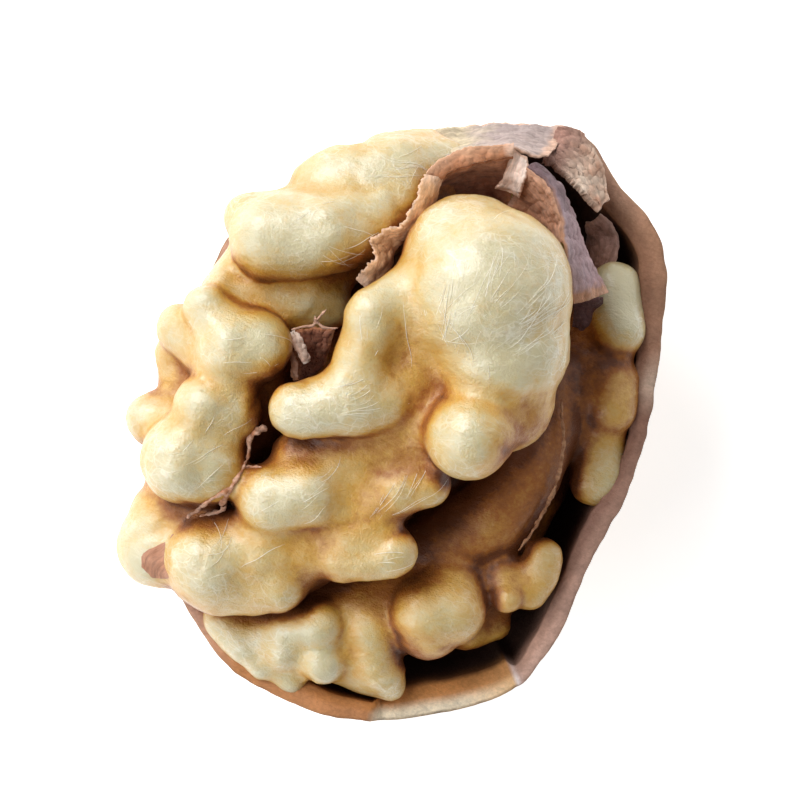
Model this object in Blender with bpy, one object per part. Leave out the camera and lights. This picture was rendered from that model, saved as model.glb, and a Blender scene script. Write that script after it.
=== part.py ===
"""A cracked walnut, lying on its back in the shell half that is left.

One half of the shell is gone, so the nut shows its whole kernel: a front half
that stood in the lost shell, a rear half that still sits in the kept shell, and
the torn papery septum between them. The nut frame has its origin at the middle
of the shell's mouth, +Y along the nut to its pointed tip, +Z out of the mouth.
The object frame is the nut frame moved so that its origin is on the ground
under the middle of the whole nut.

All lengths below are millimetres, and become metres where a mesh is made.
"""

import math

import bmesh
import bpy
from mathutils import Matrix, Vector
from mathutils.geometry import interpolate_bezier

MM = 0.001

# ---------------------------------------------------------------- dimensions
HALF_WIDTH = 16.2          # of the shell's mouth, outside
HALF_LENGTH = 21.6
ROUNDNESS = 2.25           # power of the superellipse of the mouth
WALL = 1.4                 # shell wall
DEPTH = 16.6               # from the mouth down to the round back
REST_DEPTH = 15.9          # where the back is worn flat, and rests
INNER_DEPTH = 14.9
NUT_ORIGIN = (0.8, -0.3, REST_DEPTH)   # middle of the mouth in the object frame

GAP = 0.45                 # clear space kept between two pieces
SHEET = 0.6                # thickness of the papery septum
FLAP = 1.1                 # thickness of the loose flap of shell

KERNEL_VOXEL = 1.25        # size of the remesh cells
SHELL_SEGMENTS = 60
SHELL_RINGS = 9

# Bulges of the mouth's outline: degrees round from +X, height, width in degrees
MOUTH_BULGES = (
    (53, 1.2, 14),     # shoulder beside the tip
    (77, 1.4, 7),      # pointed tip
    (106, -1.9, 19),   # flat stretch on the far side of the tip
    (-49, 1.1, 13),    # heel corner
    (-18, -0.4, 12),   # slight waist
)
# Drops of the broken rim below the mouth plane: degrees, depth, width
RIM_DROPS = (
    (190, 4.2, 44),    # side that the kernel overhangs
    (-62, 1.0, 13),    # bite broken out of the heel
    (75, 0.8, 16),     # seat of the loose flap
)

# Folds of the kernel: each is a chain of balls (x, y, z, radius) that melt
# together. z is the height above the mouth.
CENTRE_LOBE = {
    "crown": [(-0.1, 10.7, 7.6, 4.9), (2.1, 9.3, 8.1, 5.9)],
    "crown_side": [(4.3, 6.3, 7.7, 4.9), (5.1, 2.6, 7.1, 4.2)],
    "chin": [(4.9, -0.1, 9.2, 3.2)],
    "cheek": [(-4.3, 5.5, 10.0, 1.9), (-2.2, 7.1, 8.6, 2.6)],
    "neck": [(-4.1, 4.2, 9.4, 1.9), (-4.1, 2.2, 9.0, 2.0), (-3.9, 0.3, 8.8, 2.1)],
    "finger": [(-7.0, -2.3, 8.6, 2.1), (-4.1, -0.9, 8.6, 2.3), (-1.9, 0.3, 8.0, 2.3)],
    "saddle": [(-0.9, 5.1, 7.2, 3.0), (-0.4, 1.8, 6.6, 2.8), (1.6, 0.0, 6.6, 2.4)],
    "web": [(-0.2, -2.1, 4.8, 2.4), (-3.4, -4.1, 4.2, 2.2), (-0.8, -5.0, 4.6, 2.2)],
    "knuckle": [(-6.7, -8.5, 5.9, 2.5), (-4.5, -7.4, 6.1, 2.5)],
    "heel": [(-9.2, -13.9, 3.7, 2.9), (-7.9, -14.3, 3.8, 2.8)],
    "instep": [(-6.2, -12.0, 4.0, 2.5), (-3.9, -10.9, 3.9, 2.2)],
    "heel_side": [(-4.4, -14.1, 3.4, 2.0), (-6.2, -14.6, 3.4, 2.2)],
    "toe": [(-0.8, -11.0, 4.6, 1.7), (2.2, -9.3, 5.4, 1.9)],
    "ankle": [(1.3, -5.1, 6.4, 1.8), (2.9, -4.2, 6.4, 1.7)],
    "shin": [(0.0, -7.3, 5.2, 1.7), (-0.7, -9.4, 4.8, 1.7), (-2.2, -7.4, 4.8, 1.9)],
    "root": [(-4.0, -10.7, 1.4, 3.6), (-1.3, -6.1, 1.6, 3.9), (2.2, 4.5, 2.6, 5.2)],
    "bridge": [(-12.7, -8.7, 1.4, 2.6), (-9.1, -13.9, 1.4, 2.6), (-4.0, -10.7, 1.4, 2.8)],
}
LEFT_LOBE = {
    "brow": [(-12.4, 8.0, 6.6, 2.9), (-9.1, 9.3, 6.7, 3.0), (-6.4, 10.9, 6.0, 2.8),
             (-4.7, 13.4, 5.0, 2.4)],
    "top": [(-8.8, 13.7, 4.4, 2.2), (-5.9, 15.3, 4.2, 2.3), (-3.3, 17.2, 3.2, 1.6)],
    "lid": [(-11.4, 12.6, 4.2, 1.2), (-10.1, 13.9, 4.2, 1.5)],
    "ear": [(-14.6, 8.8, 4.6, 1.8), (-11.3, 10.2, 4.4, 2.0)],
    "tuck": [(-14.4, 3.7, 4.6, 1.7), (-11.8, 3.9, 3.8, 1.5), (-8.8, 5.0, 2.8, 1.9)],
    "side": [(-12.3, 0.4, 7.2, 2.5), (-10.9, 0.9, 7.0, 2.5)],
    "bud": [(-15.0, 2.1, 6.8, 1.7), (-13.5, 1.1, 6.8, 1.8)],
    "low_bud": [(-16.5, 0.4, 4.6, 1.6), (-14.4, -0.3, 5.0, 1.8)],
    "small_bud": [(-16.5, -1.5, 2.4, 1.4), (-15.6, -3.0, 2.2, 1.4)],
    "far": [(-16.5, -6.2, 2.4, 1.9), (-14.7, -5.8, 3.0, 1.9)],
    "jowl": [(-13.1, -8.0, 5.6, 3.2), (-11.8, -7.8, 5.4, 3.0)],
    "middle": [(-13.0, -4.1, 6.6, 2.3), (-11.1, -4.0, 6.0, 2.1), (-12.4, -1.7, 6.2, 2.2)],
    "low": [(-13.0, -14.3, 0.6, 2.9), (-11.5, -12.3, 1.0, 2.4)],
    "root": [(-12.7, -8.7, 1.6, 3.0), (-11.3, -4.6, 1.6, 3.8), (-12.6, 1.3, 2.0, 3.6),
             (-8.9, 9.3, 1.8, 3.6), (-4.2, 14.6, 1.4, 2.8)],
    "isthmus": [(-11.3, 1.0, 0.0, 2.8), (-4.0, 3.0, -0.4, 2.6), (2.2, 4.5, 1.0, 3.0)],
}
REAR_HALF = {
    "foot": [(-5.8, -18.8, -0.6, 2.1), (-3.7, -19.3, -1.0, 1.9), (-1.3, -18.8, -0.8, 2.0)],
    "foot_ridge": [(-1.0, -15.7, 1.6, 1.9), (-2.4, -17.5, 0.8, 1.8)],
    "foot_bud": [(0.5, -18.4, 0.7, 1.7)],
    "pillar": [(2.4, -15.1, 0.4, 2.2), (3.4, -17.0, -0.4, 1.9)],
    "plum": [(5.6, -12.5, 1.8, 2.7), (7.4, -11.8, 1.5, 2.6)],
    "pea": [(10.6, -9.7, 1.5, 1.2), (9.7, -8.4, 1.0, 1.7)],
    "corner": [(11.8, -7.5, 0.2, 2.0)],
    "under_foot": [(4.6, -17.9, -2.0, 1.4)],
    "under_plum": [(10.7, -12.0, -2.6, 1.3), (9.1, -12.9, -2.2, 1.6)],
    "band": [(5.2, -7.9, -0.6, 2.8), (7.8, -5.1, 0.0, 2.9), (9.1, -1.4, 0.2, 2.7),
             (9.1, 2.3, -0.2, 2.5), (8.6, 5.4, -0.6, 2.4)],
    "sole": [(-4.2, -16.8, -2.4, 3.2), (1.5, -14.1, -2.0, 3.8), (6.2, -10.9, -2.0, 3.8),
             (10.5, -8.3, -2.6, 2.6)],
    "right_top": [(10.6, 12.9, -1.2, 1.8), (11.8, 10.2, -0.8, 2.0), (12.7, 6.8, -0.6, 2.0),
                  (13.2, 4.9, -0.2, 1.9)],
    "right_low": [(13.4, 2.5, -1.4, 1.8), (13.9, -0.3, -1.6, 1.8)],
    "right_root": [(10.2, 8.9, -2.8, 2.4), (11.2, 4.8, -2.6, 2.4), (12.4, 2.4, -3.0, 2.0)],
}
# Body of the rear half: centre, half sizes, and its lower half height
REAR_BODY_CENTRE = (-0.2, 0.2, -4.5)
REAR_BODY_HALF = (13.0, 17.6, 4.4)
REAR_BODY_LOWER = 9.6

# Sheets: the upper edge, then the lower edge, point for point (x, y, z)
CURTAIN = (
    [(-6.0, 7.4, 5.5), (-5.2, 9.5, 6.5), (-5.1, 10.8, 7.0), (-4.1, 12.5, 7.0),
     (-4.2, 13.9, 7.0), (-3.8, 15.3, 6.5), (-1.9, 17.0, 6.0), (0.7, 18.7, 5.3),
     (2.4, 17.8, 5.3), (4.3, 16.9, 5.8), (6.3, 14.8, 6.0), (7.9, 13.2, 6.2),
     (9.9, 12.0, 5.0)],
    [(-5.5, 7.3, 0.6), (-4.8, 9.3, 0.4), (-4.6, 10.6, 0.2), (-3.7, 12.4, 0.0),
     (-3.8, 13.9, -0.4), (-3.4, 14.9, -0.8), (-1.6, 16.2, -1.2), (1.2, 17.9, -1.4),
     (2.5, 16.0, -1.2), (4.4, 14.8, -0.8), (5.9, 13.5, 0.0), (7.3, 11.4, 1.0),
     (7.9, 10.3, 2.0)],
)
LINING = (
    [(-4.2, 18.6, 0.9), (-1.9, 19.8, 0.9), (0.6, 20.6, 0.9), (3.3, 21.2, 0.9)],
    [(-2.4, 17.4, 4.6), (-0.4, 18.3, 4.9), (1.0, 18.9, 4.9), (3.1, 19.0, 3.8)],
)
BACK_FLAP = (
    [(6.9, 17.4, -0.2), (8.9, 17.1, -0.6), (9.8, 15.3, -1.1), (9.8, 12.7, -2.0),
     (10.4, 10.5, -3.0)],
    [(5.9, 15.6, -4.0), (6.5, 14.2, -4.5), (7.1, 13.0, -5.0), (8.0, 11.2, -5.0),
     (9.1, 8.9, -4.5)],
)
UPPER_FRAGMENT = (
    [(-9.2, 2.8, 5.0), (-7.7, 3.7, 5.0), (-6.6, 3.8, 5.0)],
    [(-7.8, -0.3, 1.0), (-6.9, 0.3, 1.0), (-6.3, 0.9, 1.0)],
)
LOWER_FRAGMENT = (
    [(-8.9, -4.2, 5.2), (-9.4, -5.2, 5.2), (-9.0, -6.1, 5.0), (-8.8, -7.6, 4.6),
     (-9.4, -9.7, 4.2)],
    [(-9.0, -4.3, 3.0), (-9.5, -5.2, 2.6), (-9.2, -6.2, 2.4), (-9.1, -7.5, 2.2),
     (-9.8, -9.6, 2.2)],
)
TIP_FLAP = (
    [(5.1, 22.0, 1.1), (7.2, 21.6, 1.1), (9.0, 20.3, 1.1), (10.2, 18.5, 1.1)],
    [(3.4, 19.8, 2.2), (4.2, 18.6, 2.3), (6.2, 17.9, 2.3), (8.6, 16.7, 2.1)],
)

COLOURS = {
    "kernel_cream": (0.78, 0.66, 0.42),
    "kernel_tan": (0.68, 0.52, 0.28),
    "shell_brown": (0.45, 0.29, 0.22),
    "flap_tan": (0.62, 0.47, 0.40),
    "septum_brown": (0.42, 0.20, 0.12),
    "septum_purple": (0.22, 0.12, 0.13),
}


# ------------------------------------------------------------------- helpers
def clear_scene():
    """Take away whatever the start-up file holds."""
    for obj in list(bpy.data.objects):
        bpy.data.objects.remove(obj, do_unlink=True)


def material(name, roughness):
    """A plain Principled material in one of the nut's colours."""
    mat = bpy.data.materials.new(name)
    mat.use_nodes = True
    shader = mat.node_tree.nodes["Principled BSDF"]
    shader.inputs["Base Color"].default_value = (*COLOURS[name], 1.0)
    shader.inputs["Roughness"].default_value = roughness
    shader.inputs["Metallic"].default_value = 0.0
    return mat


def to_object_frame(bm):
    """Turn millimetres in the nut frame into metres in the object frame."""
    bmesh.ops.translate(bm, verts=bm.verts, vec=NUT_ORIGIN)
    bmesh.ops.scale(bm, verts=bm.verts, vec=(MM, MM, MM))


def new_object(name, bm, smooth=True):
    """Put a mesh, given in millimetres in the nut frame, into the scene."""
    to_object_frame(bm)
    bmesh.ops.recalc_face_normals(bm, faces=bm.faces)
    mesh = bpy.data.meshes.new(name)
    bm.to_mesh(mesh)
    bm.free()
    obj = bpy.data.objects.new(name, mesh)
    bpy.context.collection.objects.link(obj)
    if smooth:
        mesh.shade_smooth()
    return obj


def as_cutter(obj):
    """Mark a solid that only cuts others, and is no piece itself."""
    obj.hide_render = True
    obj.display_type = "WIRE"
    return obj


def boolean(obj, other, operation):
    """Add an exact Boolean of one solid with another."""
    mod = obj.modifiers.new(operation.lower() + "_" + other.name, "BOOLEAN")
    mod.operation = operation
    mod.solver = "EXACT"
    mod.object = other


def settle(obj):
    """Bake the modifiers and keep only the largest body of the result."""
    graph = bpy.context.evaluated_depsgraph_get()
    bm = bmesh.new()
    bm.from_object(obj, graph)
    obj.modifiers.clear()
    left = set(bm.verts)
    bodies = []
    while left:
        body = set()
        front = [left.pop()]
        while front:
            vert = front.pop()
            body.add(vert)
            for edge in vert.link_edges:
                far = edge.other_vert(vert)
                if far in left:
                    left.discard(far)
                    front.append(far)
        bodies.append(body)
    biggest = max(bodies, key=len)
    loose = [v for v in bm.verts if v not in biggest]
    bmesh.ops.delete(bm, geom=loose, context="VERTS")
    bmesh.ops.triangulate(bm, faces=bm.faces)
    bm.to_mesh(obj.data)
    bm.free()
    return obj


# --------------------------------------------------------------- shell
def bulge(angle, rows):
    """Sum of smooth bumps round the outline: each has a place, a height and a width."""
    total = 0.0
    for centre, height, width in rows:
        off = (math.degrees(angle) - centre + 180.0) % 360.0 - 180.0
        total += height * math.exp(-(off / width) ** 2)
    return total


def mouth_radius(angle):
    """Distance from the nut's middle to the outside of the mouth, at an angle from +X."""
    wide = (abs(math.cos(angle)) / HALF_WIDTH) ** ROUNDNESS
    long = (abs(math.sin(angle)) / HALF_LENGTH) ** ROUNDNESS
    return (wide + long) ** (-1.0 / ROUNDNESS) + bulge(angle, MOUTH_BULGES)


def bowl_rings(deep, out, drop):
    """Rings of a bowl from the edge of its worn back up to the rim.

    A ring turned by an angle from the pole has the mouth's outline times the
    angle's sine, and lies the depth times its cosine below the mouth.
    """
    worn = math.acos(REST_DEPTH / DEPTH)
    rings = []
    for ring in range(SHELL_RINGS):
        loop = []
        for k in range(SHELL_SEGMENTS):
            angle = math.tau * k / SHELL_SEGMENTS
            rim = math.acos((bulge(angle, RIM_DROPS) + drop) / deep)
            turn = worn + (rim - worn) * ring / (SHELL_RINGS - 1)
            radius = (mouth_radius(angle) + out) * math.sin(turn)
            height = -deep * math.cos(turn)
            loop.append((radius * math.cos(angle), radius * math.sin(angle), height))
        rings.append(loop)
    return rings


def shell_solid(name, grow=0.0):
    """Half shell: an outer bowl up to the rim, and back down the inner bowl.

    Its back is worn flat where it rests, inside the lowest ring.
    """
    outer = bowl_rings(DEPTH + grow, grow, -grow)
    inner = bowl_rings(INNER_DEPTH - grow, -WALL - grow, -grow)
    bm = bmesh.new()
    loops = [[bm.verts.new(p) for p in loop] for loop in outer + inner[::-1]]
    for low, high in zip(loops, loops[1:]):
        for k in range(SHELL_SEGMENTS):
            nxt = (k + 1) % SHELL_SEGMENTS
            bm.faces.new((low[k], low[nxt], high[nxt], high[k]))
    for loop in (loops[0], loops[-1]):
        bm.faces.new(loop)
    return new_object(name, bm)


# --------------------------------------------------------------- kernel
def add_ball(bm, centre, radius, stretch=(1.0, 1.0, 1.0)):
    """One ball, or with a stretch an egg."""
    place = Matrix.Translation(Vector(centre)) @ Matrix.Diagonal((*stretch, 1.0))
    return bmesh.ops.create_icosphere(bm, subdivisions=2, radius=radius, matrix=place)["verts"]


def add_fold(bm, beads, grow):
    """Balls set closely along a chain, so that they melt into one fold."""
    if len(beads) == 1:
        add_ball(bm, beads[0][:3], beads[0][3] + grow)
    for start, end in zip(beads, beads[1:]):
        first = Vector(start)
        last = Vector(end)
        reach = (last.xyz - first.xyz).length
        count = max(2, math.ceil(reach / (0.4 * min(start[3], end[3]))))
        for k in range(count + 1):
            ball = first.lerp(last, k / count)
            add_ball(bm, ball.xyz, ball.w + grow)


def add_rear_body(bm, grow):
    """The bulk of the rear half: an egg with a flatter top and a deep belly."""
    half = [h + grow for h in REAR_BODY_HALF]
    verts = bmesh.ops.create_icosphere(bm, subdivisions=5, radius=1.0)["verts"]
    for vert in verts:
        deep = REAR_BODY_LOWER + grow if vert.co.z < 0.0 else half[2]
        vert.co = Vector((vert.co.x * half[0], vert.co.y * half[1], vert.co.z * deep))
        vert.co += Vector(REAR_BODY_CENTRE)


def kernel_solid(name, lobes, grow=0.0, with_body=False):
    """Melt the folds into one skin: a voxel remesh and a little smoothing."""
    bm = bmesh.new()
    for folds in lobes:
        for beads in folds.values():
            add_fold(bm, beads, grow)
    if with_body:
        add_rear_body(bm, grow)
    obj = new_object(name, bm)
    melt = obj.modifiers.new("melt", "REMESH")
    melt.mode = "VOXEL"
    melt.voxel_size = KERNEL_VOXEL * MM
    melt.use_smooth_shade = True
    soften = obj.modifiers.new("soften", "SMOOTH")
    soften.factor = 0.5
    soften.iterations = 2
    return obj


# --------------------------------------------------------------- sheets
def smooth_line(points, steps):
    """Points along a smooth curve through the given ones."""
    pts = [Vector(p) for p in points]
    out = []
    last = len(pts) - 1
    for k in range(last):
        before = pts[max(k - 1, 0)]
        after = pts[min(k + 2, last)]
        reach = 1.0 / 6.0
        first_handle = pts[k] + (pts[k + 1] - before) * reach
        last_handle = pts[k + 1] - (after - pts[k]) * reach
        bit = interpolate_bezier(pts[k], first_handle, last_handle, pts[k + 1], steps + 1)
        out.extend(bit[:-1])
    out.append(pts[-1])
    return out


def stretched(line, extra):
    """The same line, a little longer at both ends."""
    head = line[0] + (line[0] - line[1]).normalized() * extra
    tail = line[-1] + (line[-1] - line[-2]).normalized() * extra
    return [head] + line + [tail]


def sheet_solid(name, edges, thickness, grow=0.0, steps=2, rows=4, sag=0.0):
    """A thin curved sheet between an upper and a lower edge, made solid.

    Each cross line runs straight between the two edges and dips by sag in its
    middle. With a growth the sheet is wider, longer and thicker all round.
    """
    upper = smooth_line(edges[0], steps)
    lower = smooth_line(edges[1], steps)
    if grow:
        upper = stretched(upper, grow)
        lower = stretched(lower, grow)
    bm = bmesh.new()
    grid = []
    for high, low in zip(upper, lower):
        over = (high - low).normalized() * grow
        line = []
        for r in range(rows + 1):
            step = r / rows
            point = (high + over).lerp(low - over, step)
            point.z -= sag * 4.0 * step * (1.0 - step)
            line.append(bm.verts.new(point))
        grid.append(line)
    for here, there in zip(grid, grid[1:]):
        for r in range(rows):
            bm.faces.new((here[r], here[r + 1], there[r + 1], there[r]))
    obj = new_object(name, bm)
    wall = obj.modifiers.new("thickness", "SOLIDIFY")
    wall.thickness = (thickness + 2.0 * grow) * MM
    wall.offset = 0.0
    return settle(obj)


# --------------------------------------------------------------- pieces
def make_shell():
    """The kept half of the shell."""
    shell = shell_solid("shell")
    shell.data.materials.append(material("shell_brown", 0.7))
    return shell


def make_sheets():
    """The loose flap at the tip and the torn bits of septum."""
    purple = material("septum_purple", 0.85)
    brown = material("septum_brown", 0.85)
    flap = sheet_solid("shell_flap", TIP_FLAP, FLAP)
    flap.data.materials.append(material("flap_tan", 0.75))
    septum = sheet_solid("septum", CURTAIN, SHEET)
    lining = as_cutter(sheet_solid("lining_guide", LINING, SHEET))
    boolean(septum, lining, "UNION")
    settle(septum)
    septum.data.materials.append(brown)
    back = sheet_solid("septum_back_flap", BACK_FLAP, SHEET)
    back.data.materials.append(purple)
    upper = sheet_solid("septum_upper_fragment", UPPER_FRAGMENT, SHEET)
    lower = sheet_solid("septum_lower_fragment", LOWER_FRAGMENT, SHEET)
    for bit in (upper, lower):
        bit.data.materials.append(brown)


def clearances():
    """Grown copies of the shell and the sheets, which cut the kernel clear of them."""
    cutters = [shell_solid("clear_of_shell", GAP)]
    for name, edges, thickness in (
        ("flap", TIP_FLAP, FLAP),
        ("curtain", CURTAIN, SHEET),
        ("lining", LINING, SHEET),
        ("back_flap", BACK_FLAP, SHEET),
        ("upper_fragment", UPPER_FRAGMENT, SHEET),
        ("lower_fragment", LOWER_FRAGMENT, SHEET),
    ):
        cutters.append(sheet_solid("clear_of_" + name, edges, thickness, GAP))
    return [as_cutter(cutter) for cutter in cutters]


def make_kernel(cutters):
    """The two halves of the kernel, each clear of the other and of all else."""
    front = kernel_solid("kernel_front_half", (CENTRE_LOBE, LEFT_LOBE))
    rear = kernel_solid("kernel_rear_half", (REAR_HALF,), with_body=True)
    front_room = as_cutter(kernel_solid("clear_of_front", (CENTRE_LOBE, LEFT_LOBE), GAP))
    for half in (front, rear):
        for cutter in cutters:
            boolean(half, cutter, "DIFFERENCE")
    boolean(rear, front_room, "DIFFERENCE")
    settle(front)
    settle(rear)
    front.data.materials.append(material("kernel_cream", 0.45))
    rear.data.materials.append(material("kernel_tan", 0.5))


def main():
    """Build the nut."""
    clear_scene()
    make_shell()
    make_sheets()
    make_kernel(clearances())


main()
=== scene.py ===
"""Cracked walnut: the finished look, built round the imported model.

The nut lies on its back in the kept half of its shell. All shapes are worked out in
millimetres in the nut frame (origin at the middle of the shell's mouth, +Y to the
pointed tip, +Z out of the mouth) and become metres in the object frame when they are
put into a mesh.
"""

import itertools
import math

import bpy
import numpy as np
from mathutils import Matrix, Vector


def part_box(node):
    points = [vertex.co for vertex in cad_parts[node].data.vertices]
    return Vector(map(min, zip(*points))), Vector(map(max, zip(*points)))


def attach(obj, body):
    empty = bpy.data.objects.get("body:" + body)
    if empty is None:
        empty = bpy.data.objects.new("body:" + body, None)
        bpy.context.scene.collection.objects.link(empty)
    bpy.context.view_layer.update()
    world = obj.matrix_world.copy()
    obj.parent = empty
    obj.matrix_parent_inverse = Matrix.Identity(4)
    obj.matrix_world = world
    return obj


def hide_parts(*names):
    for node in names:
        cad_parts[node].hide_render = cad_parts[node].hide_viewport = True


bl_info = {
    "name": "Cracked Walnut",
    "version": (1, 0, 0),
    "blender": (4, 5, 0),
    "location": "3D View > Sidebar > Walnut",
    "description": "Kernel, shell and torn septum of a cracked walnut",
    "category": "Object",
}

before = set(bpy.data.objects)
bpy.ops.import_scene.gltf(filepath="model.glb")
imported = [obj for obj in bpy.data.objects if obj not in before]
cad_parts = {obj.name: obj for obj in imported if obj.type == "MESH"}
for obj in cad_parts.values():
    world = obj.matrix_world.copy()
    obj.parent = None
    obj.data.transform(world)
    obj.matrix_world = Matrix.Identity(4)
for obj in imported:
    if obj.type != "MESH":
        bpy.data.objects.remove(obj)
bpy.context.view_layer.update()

MM = 0.001
TINY = 1e-9
# Middle of the shell's mouth in the object frame, in millimetres
MOUTH = np.array([0.8, -0.3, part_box("shell")[1][2] / MM])

# ------------------------------------------------------------------ shell sizes
HALF_WIDTH = 16.2
HALF_LENGTH = 21.6
ROUNDNESS = 2.25
DEPTH = 16.6
INNER_DEPTH = 14.9
REST_DEPTH = 15.88
# Bulges of the mouth's outline: degrees round from +X, height, width in degrees
MOUTH_BULGES = (
    (53, 1.2, 14),
    (77, 1.4, 7),
    (106, -1.9, 19),
    (129, -1.25, 13),
    (-49, 1.1, 13),
    (-18, -0.4, 12),
    (160, 0.6, 12),
)
# Drops of the broken rim below the mouth: degrees, depth, width
RIM_DROPS = ((190, 4.2, 44), (-62, 0.7, 13), (75, 0.8, 16))
HEEL_BITE = (-76.5, -48.5)         # the rim is broken lower between these angles
BITE_DROP = 0.7
INNER_BITE_DROP = 1.3
BITE_THICKENING = 0.7
INNER_RIM_DROP = 0.18              # of the wall's inner edge below its outer edge
RIM_SWELL = 0.20                   # height of the rim's rounding
WALL_BULGES = ((52, 0.8, 14), (-100, 0.5, 20), (-25, 0.2, 12))
RING_RADIUS = 18.0                 # of the ring on which the rim's noise is read

# ---------------------------------------------------------------- kernel folds
# name: (tan, [(x, y, z, radius), ...]), tan running from 0, cream, to 1, brown; the high
# tans of the deep folds are painted shade, and tans below 0 are painted light on folds in shade
CENTRE_LOBE = {
    "crown": (0.10, [(0.5, 10.9, 7.4, 4.65), (2.3, 9.4, 8.1, 5.9), (4.4, 6.3, 7.7, 4.9),
                     (5.7, 2.9, 6.8, 3.7)]),
    "chin": (0.14, [(4.4, -0.1, 9.3, 3.15)]),
    "cheek": (0.08, [(-4.3, 5.5, 10.0, 1.9), (-2.2, 7.1, 8.6, 2.6)]),
    "neck": (0.28, [(-4.1, 4.2, 9.4, 1.9), (-4.1, 2.2, 9.0, 2.0), (-3.9, 0.3, 8.8, 2.1)]),
    "finger": (0.05, [(-7.0, -2.3, 8.6, 2.1), (-4.1, -0.9, 8.6, 2.3), (-1.9, 0.3, 8.0, 2.3)]),
    "saddle": (0.45, [(-0.9, 5.1, 7.2, 3.0), (-0.4, 1.8, 6.6, 2.8), (1.6, 0.0, 6.6, 2.4)]),
    "web": (0.72, [(1.9, -2.7, 5.6, 1.9), (-0.2, -2.1, 5.6, 2.4), (-3.4, -4.1, 5.1, 2.3),
                   (-0.8, -5.2, 5.2, 2.2)]),
    "sill": (0.22, [(-5.9, -5.2, 5.0, 2.0), (-3.2, -4.5, 5.2, 2.2)]),
    "knuckle": (0.08, [(-6.7, -8.5, 5.9, 2.5), (-4.5, -7.4, 6.1, 2.5)]),
    "heel": (0.08, [(-9.3, -14.0, 3.7, 2.95), (-8.3, -12.6, 3.4, 2.6)]),
    "instep": (0.30, [(-6.2, -12.0, 4.0, 2.4), (-3.9, -10.9, 3.9, 2.2)]),
    "heel_low": (0.34, [(-9.6, -15.6, 2.3, 1.7), (-8.2, -15.8, 2.5, 1.9), (-6.1, -15.2, 2.5, 1.7)]),
    "heel_side": (0.24, [(-4.4, -14.0, 3.5, 2.1), (-6.2, -14.4, 3.0, 1.9)]),
    "toe": (0.20, [(-0.8, -11.0, 4.6, 1.7), (2.2, -9.3, 5.4, 1.9)]),
    "ankle": (0.22, [(1.3, -5.1, 6.4, 1.8), (2.9, -4.2, 6.4, 1.7)]),
    "shin": (0.56, [(0.0, -7.3, 5.3, 1.9), (-0.9, -9.4, 4.9, 1.9), (-2.2, -7.4, 5.0, 2.1)]),
    # root lies deep under the folds: its high tan is painted shade in the gaps.
    "root": (0.80, [(-4.0, -10.7, 1.4, 3.6), (-1.3, -6.1, 1.6, 3.9), (2.2, 4.5, 2.6, 5.2)]),
    "bridge": (0.45, [(-12.7, -8.7, 1.4, 2.6), (-11.2, -11.6, 1.4, 2.3), (-9.1, -13.9, 1.6, 2.6),
                      (-4.0, -10.7, 1.4, 2.8)]),
}
LEFT_LOBE = {
    "brow": (0.10, [(-12.5, 8.1, 6.4, 3.0), (-9.2, 9.4, 6.6, 3.0), (-6.9, 11.0, 5.4, 2.7),
                    (-5.5, 13.4, 4.3, 2.4)]),
    "top": (0.14, [(-9.6, 12.9, 4.2, 2.2), (-8.4, 13.9, 4.2, 2.3), (-6.0, 15.4, 3.9, 2.4),
                   (-3.4, 17.0, 2.7, 1.7)]),
    "lid": (0.06, [(-11.5, 12.8, 3.8, 1.3), (-10.2, 14.1, 3.8, 1.5)]),
    "rim_lump": (0.10, [(-7.4, 16.3, 2.6, 1.4), (-4.9, 17.7, 1.6, 1.3)]),
    "ear": (0.12, [(-14.6, 8.8, 4.6, 1.8), (-11.3, 10.2, 4.4, 2.0)]),
    # tuck and tuck_low have tans below 0: painted light on folds that lie in shade.
    "tuck": (-0.30, [(-13.9, 5.8, 3.6, 1.6), (-14.4, 3.7, 4.8, 1.7), (-11.8, 3.9, 4.5, 1.5),
                     (-9.0, 4.7, 3.9, 1.7), (-7.4, 4.9, 3.3, 1.6)]),
    "tuck_low": (-0.20, [(-9.0, 4.6, 3.8, 1.5), (-8.5, 3.5, 3.3, 1.3)]),
    "side": (0.06, [(-12.3, 0.4, 7.2, 2.5), (-10.9, 0.9, 7.0, 2.5)]),
    "bud": (0.06, [(-15.0, 2.1, 6.8, 1.7), (-13.5, 1.1, 6.8, 1.8)]),
    "low_bud": (0.10, [(-16.5, 0.3, 4.4, 1.8), (-14.4, -0.4, 4.8, 1.9)]),
    "small_bud": (0.20, [(-16.5, -1.5, 2.4, 1.4), (-15.6, -3.0, 2.2, 1.4)]),
    "far": (0.02, [(-16.5, -6.2, 2.4, 1.9), (-14.7, -5.8, 3.0, 1.9)]),
    "jowl": (0.08, [(-13.1, -8.0, 5.6, 3.2), (-11.8, -7.8, 5.4, 3.0)]),
    "middle": (0.12, [(-13.0, -4.1, 6.6, 2.3), (-11.1, -4.0, 6.0, 2.1), (-12.4, -1.7, 6.2, 2.2)]),
    "low": (0.04, [(-13.1, -14.3, 0.8, 3.15), (-13.2, -12.6, 0.9, 2.8), (-11.4, -12.3, 1.0, 2.4)]),
    # root and isthmus lie deep under the folds: their high tans are painted shade in the gaps.
    "root": (0.70, [(-12.7, -8.7, 1.6, 3.0), (-11.3, -4.6, 1.6, 3.8), (-12.6, 1.3, 2.0, 3.6),
                    (-8.9, 9.3, 1.8, 3.6), (-4.2, 14.6, 1.4, 2.8)]),
    "isthmus": (0.85, [(-11.3, 1.0, 0.0, 2.8), (-4.0, 3.0, -0.4, 2.6), (2.2, 4.5, 1.0, 3.0)]),
}
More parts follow.
